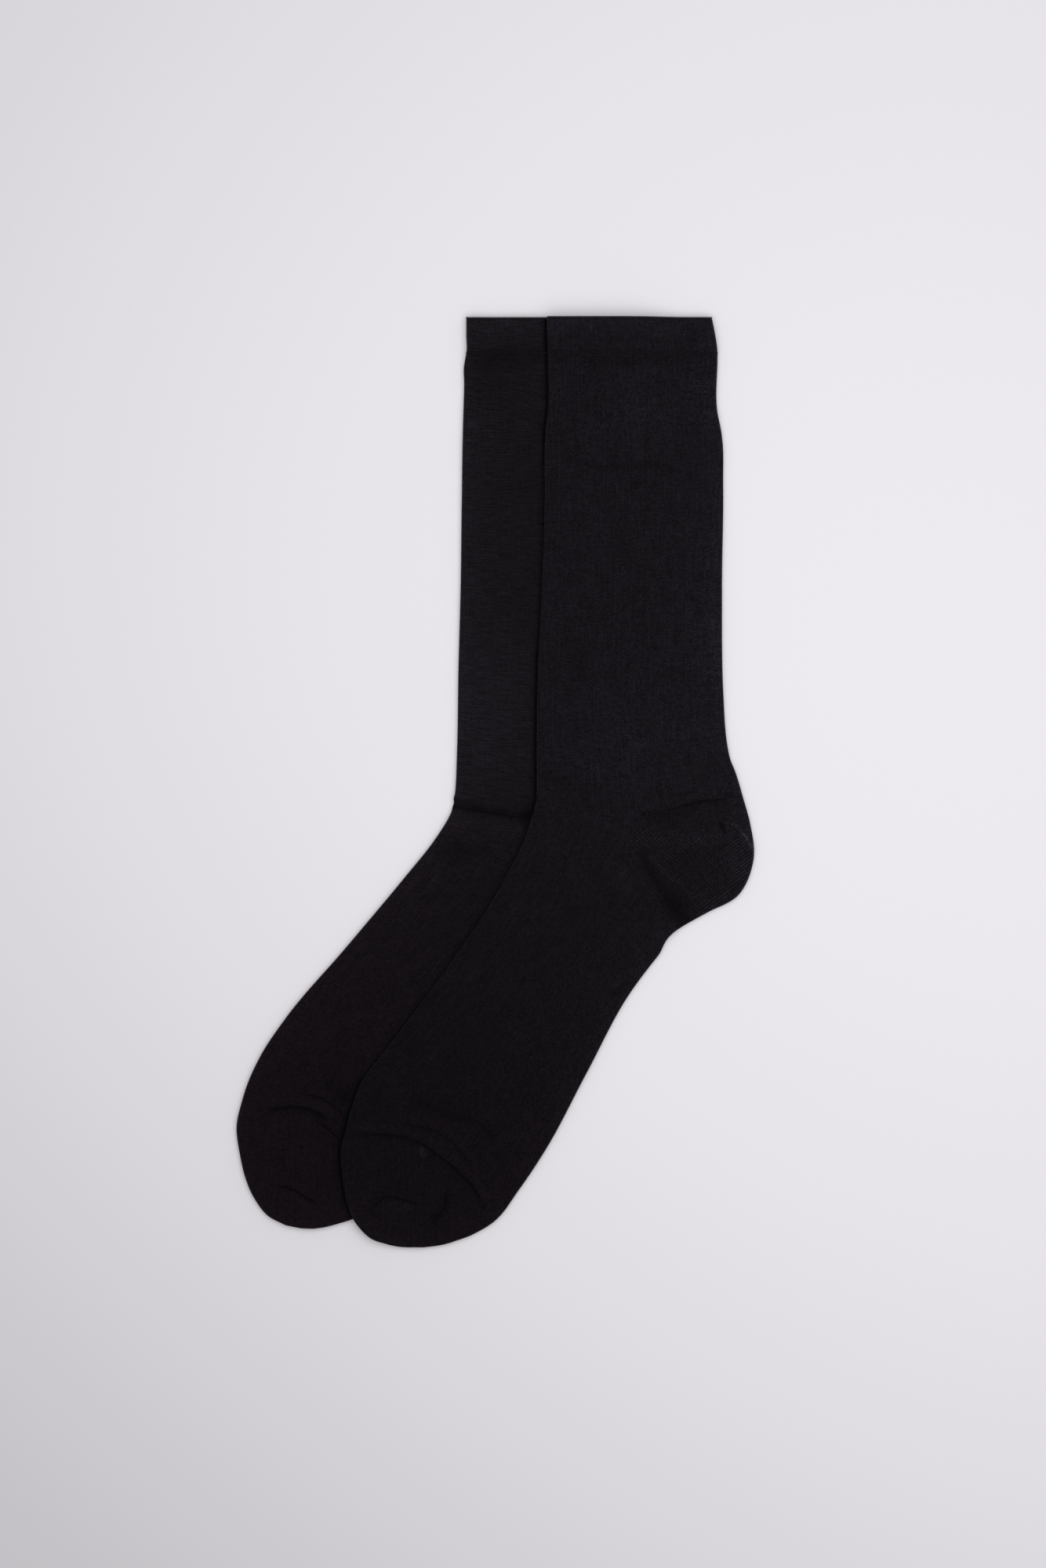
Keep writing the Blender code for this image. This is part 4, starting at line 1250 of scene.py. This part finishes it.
def stitch_row_tree():
    """Lays small oval stitches along a line: one every spacing, slanted and a little uneven."""
    tree = bpy.data.node_groups.new("row_of_stitches", "GeometryNodeTree")
    wanted = {
        "Line": "Geometry", "Spacing": "Float", "Length": "Float", "Width": "Float", "Slant": "Float",
        "Uneven": "Float", "Seed": "Int", "Yarn": "Material",
    }
    for name, kind in wanted.items():
        tree.interface.new_socket(name, in_out="INPUT", socket_type=f"NodeSocket{kind}")
    tree.interface.new_socket("Stitches", in_out="OUTPUT", socket_type="NodeSocketGeometry")
    given = add_node(tree, "NodeGroupInput").outputs
    line = add_node(tree, "GeometryNodeMeshToCurve", {"Mesh": given["Line"]})
    level = add_node(tree, "GeometryNodeSetCurveNormal", {"Curve": line}, mode="Z_UP")
    spaced = {"Curve": level, "Length": given["Spacing"]}
    points = add_node(tree, "GeometryNodeCurveToPoints", spaced, mode="LENGTH")
    stray = add_node(tree, MATH, [given["Uneven"], -1.0], operation="MULTIPLY")
    spread = {2: stray, 3: given["Uneven"], 8: given["Seed"]}
    swing = add_node(tree, "FunctionNodeRandomValue", spread, data_type="FLOAT").outputs[1]
    slant = add_node(tree, MATH, [given["Slant"], swing], operation="ADD")
    about_up = add_node(tree, "ShaderNodeCombineXYZ", {"Y": slant})
    turn = add_node(tree, "FunctionNodeEulerToRotation", [about_up])
    rotation = {"Rotation": points.outputs["Rotation"], "Rotate By": turn}
    turned = add_node(tree, "FunctionNodeRotateRotation", rotation, rotation_space="LOCAL")
    size = add_node(tree, "ShaderNodeCombineXYZ", [given["Width"], given["Width"], given["Length"]])
    stitch = add_node(tree, "GeometryNodeMeshUVSphere", STITCH_SHAPE)
    laid = add_node(tree, "GeometryNodeInstanceOnPoints", {
        "Points": points, "Instance": stitch, "Rotation": turned, "Scale": size,
    })
    real = add_node(tree, "GeometryNodeRealizeInstances", [laid])
    smooth = add_node(tree, "GeometryNodeSetShadeSmooth", [real])
    dressed = add_node(tree, "GeometryNodeSetMaterial", {"Geometry": smooth, "Material": given["Yarn"]})
    add_node(tree, "NodeGroupOutput", {"Stitches": dressed})
    return tree


def row_path(cloth, row):
    """The closed path of a row: over the upper side and back along the underside."""
    at_mouth = row.where == "mouth"
    levels = {"mouth": cloth.sock.sections[0].middle_y - MOUTH_SET_BACK, "welt": WELT_LINE}
    if row.where in levels:
        x = np.linspace(cloth.outline[:, 0].min(), cloth.outline[:, 0].max(), ROUND_ROW_POINTS)
        y = np.full(ROUND_ROW_POINTS, levels[row.where])
    else:
        x, y = smooth_line(cloth.sock.lines[row.where], SEAM_ROW_SPANS).T
    edge = -outside_by(x, y, cloth.outline + (0.0, MOUTH_CLEAR if at_mouth else 0.0))
    inside = edge > ROW_EDGE
    x, y, edge = x[inside], y[inside], edge[inside]
    laid = cloth.thickness(y)
    if at_mouth:
        edge = np.minimum(x - x.min(), x.max() - x) + ROW_EDGE
    rise = np.sqrt(1.0 - (1.0 - np.clip(edge / (0.5 * laid), 0.0, 1.0)) ** 2)
    middle = cloth.underside(x, y) + 0.5 * laid
    reach = 0.5 * laid + row.proud
    inwards = 0.5 * cloth.wall(y) if at_mouth else 0.0
    relief = cloth.relief(x, y)
    top = middle + (reach - inwards + relief) * rise
    bottom = middle - (reach - inwards - 0.5 * row.width) * rise
    upper, lower = np.stack([x, y, top], axis=1), np.stack([x, y, bottom], axis=1)
    return np.concatenate([upper, lower[::-1]])


def stitch_row(cloth, row, shift, tree, yarn):
    """One row of stitches round a sock, as a plain mesh."""
    path = (row_path(cloth, row) + (*shift, 0.0)) * MM
    count = len(path)
    mesh = bpy.data.meshes.new(f"{cloth.sock.node}_{row.name}")
    mesh.from_pydata(path.tolist(), [(place, (place + 1) % count) for place in range(count)], [])
    line = new_piece("row_line", mesh)
    maker = line.modifiers.new("stitches", "NODES")
    maker.node_group = tree
    values = {
        "Spacing": row.spacing * MM, "Length": row.length * MM, "Width": row.width * MM,
        "Slant": math.radians(row.slant_deg), "Uneven": math.radians(STITCH_SWING_DEG),
        "Seed": cloth.sock.seed, "Yarn": yarn,
    }
    for item in tree.interface.items_tree:
        if item.in_out == "INPUT" and item.name in values:
            maker[item.identifier] = values[item.name]
    line.update_tag()
    evaluated = line.evaluated_get(bpy.context.evaluated_depsgraph_get())
    piece = new_piece(mesh.name, bpy.data.meshes.new_from_object(evaluated))
    bpy.data.objects.remove(line)
    return piece


# Settings


def length_setting(name, about, default):
    """A length that a user may change."""
    return FloatProperty(name=name, description=about, default=default, unit="LENGTH")


def share_setting(name, about, default):
    """A share from 0 to 1 that a user may change."""
    return FloatProperty(name=name, description=about, default=default, min=0.0, max=1.0)


def colour_setting(name, about, default):
    """A colour that a user may change."""
    return FloatVectorProperty(name=name, description=about, default=linear(default)[:3], subtype="COLOR")


class SockSizes(bpy.types.PropertyGroup):
    """Thicknesses of the cloth and how it lies."""

    wall: length_setting("Wall", "One knitted layer", 0.0010)
    welt_wall: length_setting("Welt wall", "The doubled welt", 0.0015)
    slit: length_setting("Slit", "Air between the layers", 0.0003)
    rest_gap: length_setting("Rest gap", "Between the two socks", 0.0003)
    ripple: length_setting("Ripple", "Unevenness of the laid cloth", 0.00009)
    edge_roll: length_setting("Edge roll", "Swelling along folded edges", 0.00020)
    gape: length_setting("Gape", "How far the mouth stands open", 0.0005)
    groove_share: share_setting("Groove share", "Creases felt underneath", 0.1)
    # painted sheen of loose fibre along the folded edges
    edge_light: share_setting("Edge light", "Lighter folded edges", 0.66)


class YarnLook(bpy.types.PropertyGroup):
    """Colours and shine of the cotton."""

    depth: share_setting("Dye depth", "Share of the colour that the dye gives back", 0.445)
    # the feet's colours are darker than the legs' in painted shade, for their knit's duller sheen
    over_leg: colour_setting("Over leg colour", "Yarn from the over sock's cuff to its heel", "#201c23")
    over_foot: colour_setting("Over foot colour", "Yarn in the over sock's foot", "#171016")
    under_leg: colour_setting("Under leg colour", "Yarn from the under sock's cuff to its heel", "#1f1b21")
    under_foot: colour_setting("Under foot colour", "Yarn in the under sock's foot", "#1b1118")
    roughness: share_setting("Roughness", "Dullness of the cotton", 0.50)
    shine: share_setting("Shine", "Specular level", 0.045)
    shine_colour: colour_setting("Shine colour", "The dull shine takes the dye's violet", "#f9e1ff")
    nap: share_setting("Nap", "Loose fibre ends that catch the light", 0.03)


class StageLook(bpy.types.PropertyGroup):
    """The board under the pair, and the light."""

    board_colour: colour_setting("Board colour", "Matt painted board", "#e8e5ea")
    light_size: length_setting("Light size", "Side of the soft light", 1.096)
    light_power: FloatProperty(name="Light power", description="Watts", default=4.47, unit="POWER")
    sky: FloatProperty(name="Sky", description="Even light from all round", default=0.45)


# Tools


def dress(piece, material):
    """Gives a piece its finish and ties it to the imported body."""
    piece.data.materials.clear()
    piece.data.materials.append(material)
    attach(piece, "root")


class SOCKS_OT_knit_pair(bpy.types.Operator):
    """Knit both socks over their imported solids"""

    bl_idname = "socks.knit_pair"
    bl_label = "Knit the pair"

    def execute(self, context):
        sizes, look = context.scene.sock_sizes, context.scene.yarn_look
        shift = plan_shift()
        for cloth in pair_of_cloths(sizes):
            sock = knit_sock(cloth, shift)
            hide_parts(cloth.sock.node)
            dress(sock, knitted_yarn(look, cloth))
        return {"FINISHED"}


class SOCKS_OT_stitch_rows(bpy.types.Operator):
    """Lay the rows of stitches at the cuffs, heels and toes"""

    bl_idname = "socks.stitch_rows"
    bl_label = "Lay the rows of stitches"

    def execute(self, context):
        sizes = context.scene.sock_sizes
        shift = plan_shift()
        tree = stitch_row_tree()
        yarn = seam_yarn(context.scene.yarn_look)
        for cloth in pair_of_cloths(sizes):
            for row in STITCH_ROWS:
                if row.where in ("mouth", "welt") or row.where in cloth.sock.lines:
                    piece = stitch_row(cloth, row, shift, tree, yarn)
                    dress(piece, yarn)
        return {"FINISHED"}


class SOCKS_OT_stage(bpy.types.Operator):
    """Set the board, the light and the camera"""

    bl_idname = "socks.stage"
    bl_label = "Set the stage"

    def execute(self, context):
        look = context.scene.stage_look
        add_board(look)
        add_light(look)
        add_camera()
        context.scene.view_settings.view_transform = "Standard"
        return {"FINISHED"}


class SOCKS_PT_tools(bpy.types.Panel):
    """The sock maker's tools, in the order of work"""

    bl_label = "Pair of socks"
    bl_idname = "SOCKS_PT_tools"
    bl_space_type = "VIEW_3D"
    bl_region_type = "UI"
    bl_category = "Socks"

    def draw(self, context):
        for tool in TOOLS:
            self.layout.operator(tool.bl_idname)
        for group in (context.scene.sock_sizes, context.scene.yarn_look, context.scene.stage_look):
            for name in group.__annotations__:
                self.layout.prop(group, name)


# Stage

BOARD_SIDE = 12.0               # metres
BOARD_TOP = -0.0001             # metres, a hair under the socks
GRAINS_A_METRE = 900.0
BOARD_UNEVEN = 0.015            # the board's grain is so much lighter and darker
LIGHT_PLACE = (0.252, 0.130, 0.605)
LIGHT_AIM = (0.378, 0.303, 0.0)
CAMERA_SIGHT = 50.0             # metres that the camera sees


def painted_board(look):
    """Matt lilac-grey painted board: one flat pale tone, a breath uneven, with no shine."""
    material, tree = new_finish("matt painted board")
    place = add_node(tree, "ShaderNodeTexCoord").outputs["Object"]
    grain = add_node(tree, "ShaderNodeTexNoise", {"Vector": place, "Scale": GRAINS_A_METRE, "Detail": 3.0})
    swing = {"Value": grain, "To Min": 1.0 - BOARD_UNEVEN, "To Max": 1.0 + BOARD_UNEVEN}
    shade = add_node(tree, MAP_RANGE, swing)
    colour = add_node(tree, VECTOR_MATH, {0: (*look.board_colour,), 3: shade}, operation="SCALE")
    paint = add_node(tree, "ShaderNodeBsdfPrincipled", {
        "Base Color": colour, "Roughness": 0.95, "Specular IOR Level": 0.0,
    })
    add_node(tree, "ShaderNodeOutputMaterial", {"Surface": paint})
    return material


def add_board(look):
    """The board that the pair lies on."""
    half = 0.5 * BOARD_SIDE
    mesh = bpy.data.meshes.new("board")
    corners = [(x * half, y * half, BOARD_TOP) for x, y in ((-1, -1), (1, -1), (1, 1), (-1, 1))]
    mesh.from_pydata(corners, [], [(0, 1, 2, 3)])
    mesh.materials.append(painted_board(look))
    board = new_piece("board", mesh)


def add_light(look):
    """A wide soft light to the right, and pale even light from all round."""
    light = bpy.data.lights.new("soft_light", "AREA")
    light.shape = "SQUARE"
    light.size = look.light_size
    light.energy = look.light_power
    lamp = new_piece("soft_light", light)
    lamp.location = LIGHT_PLACE
    aim = Vector(LIGHT_AIM) - Vector(LIGHT_PLACE)
    lamp.rotation_euler = aim.to_track_quat("-Z", "Y").to_euler()
    lamp.visible_camera = False
    world = bpy.data.worlds.new("pale_room")
    world.use_nodes = True
    room = world.node_tree.nodes["Background"]
    room.inputs["Color"].default_value = (1.0, 1.0, 1.0, 1.0)
    room.inputs["Strength"].default_value = look.sky
    bpy.context.scene.world = world


def add_camera():
    """Straight above the pair, framed as the pair was laid."""
    width, height = FRAME_PIXELS
    pair_x = (0.5 * width - PAIR_PIXEL[0]) * MM_PER_PIXEL * MM
    pair_y = (PAIR_PIXEL[1] - 0.5 * height) * MM_PER_PIXEL * MM
    lens = bpy.data.cameras.new("camera")
    lens.lens = CAMERA_LENS
    lens.sensor_width = CAMERA_SENSOR
    lens.clip_end = CAMERA_SIGHT
    camera = new_piece("camera", lens)
    away = height * MM_PER_PIXEL * MM * CAMERA_LENS / CAMERA_SENSOR
    camera.location = (pair_x, pair_y, away)
    bpy.context.scene.camera = camera


TOOLS = (SOCKS_OT_knit_pair, SOCKS_OT_stitch_rows, SOCKS_OT_stage)
GROUPS = {"sock_sizes": SockSizes, "yarn_look": YarnLook, "stage_look": StageLook}


def register():
    for group in GROUPS.values():
        bpy.utils.register_class(group)
    for name, group in GROUPS.items():
        setattr(bpy.types.Scene, name, PointerProperty(type=group))
    for tool in (*TOOLS, SOCKS_PT_tools):
        bpy.utils.register_class(tool)


def unregister():
    for tool in reversed((*TOOLS, SOCKS_PT_tools)):
        bpy.utils.unregister_class(tool)
    for name, group in GROUPS.items():
        delattr(bpy.types.Scene, name)
        bpy.utils.unregister_class(group)


def main():
    """Makes the pair and its stage with the tools."""
    register()
    bpy.ops.socks.knit_pair()
    bpy.ops.socks.stitch_rows()
    bpy.ops.socks.stage()


if __name__ == "__main__":
    main()
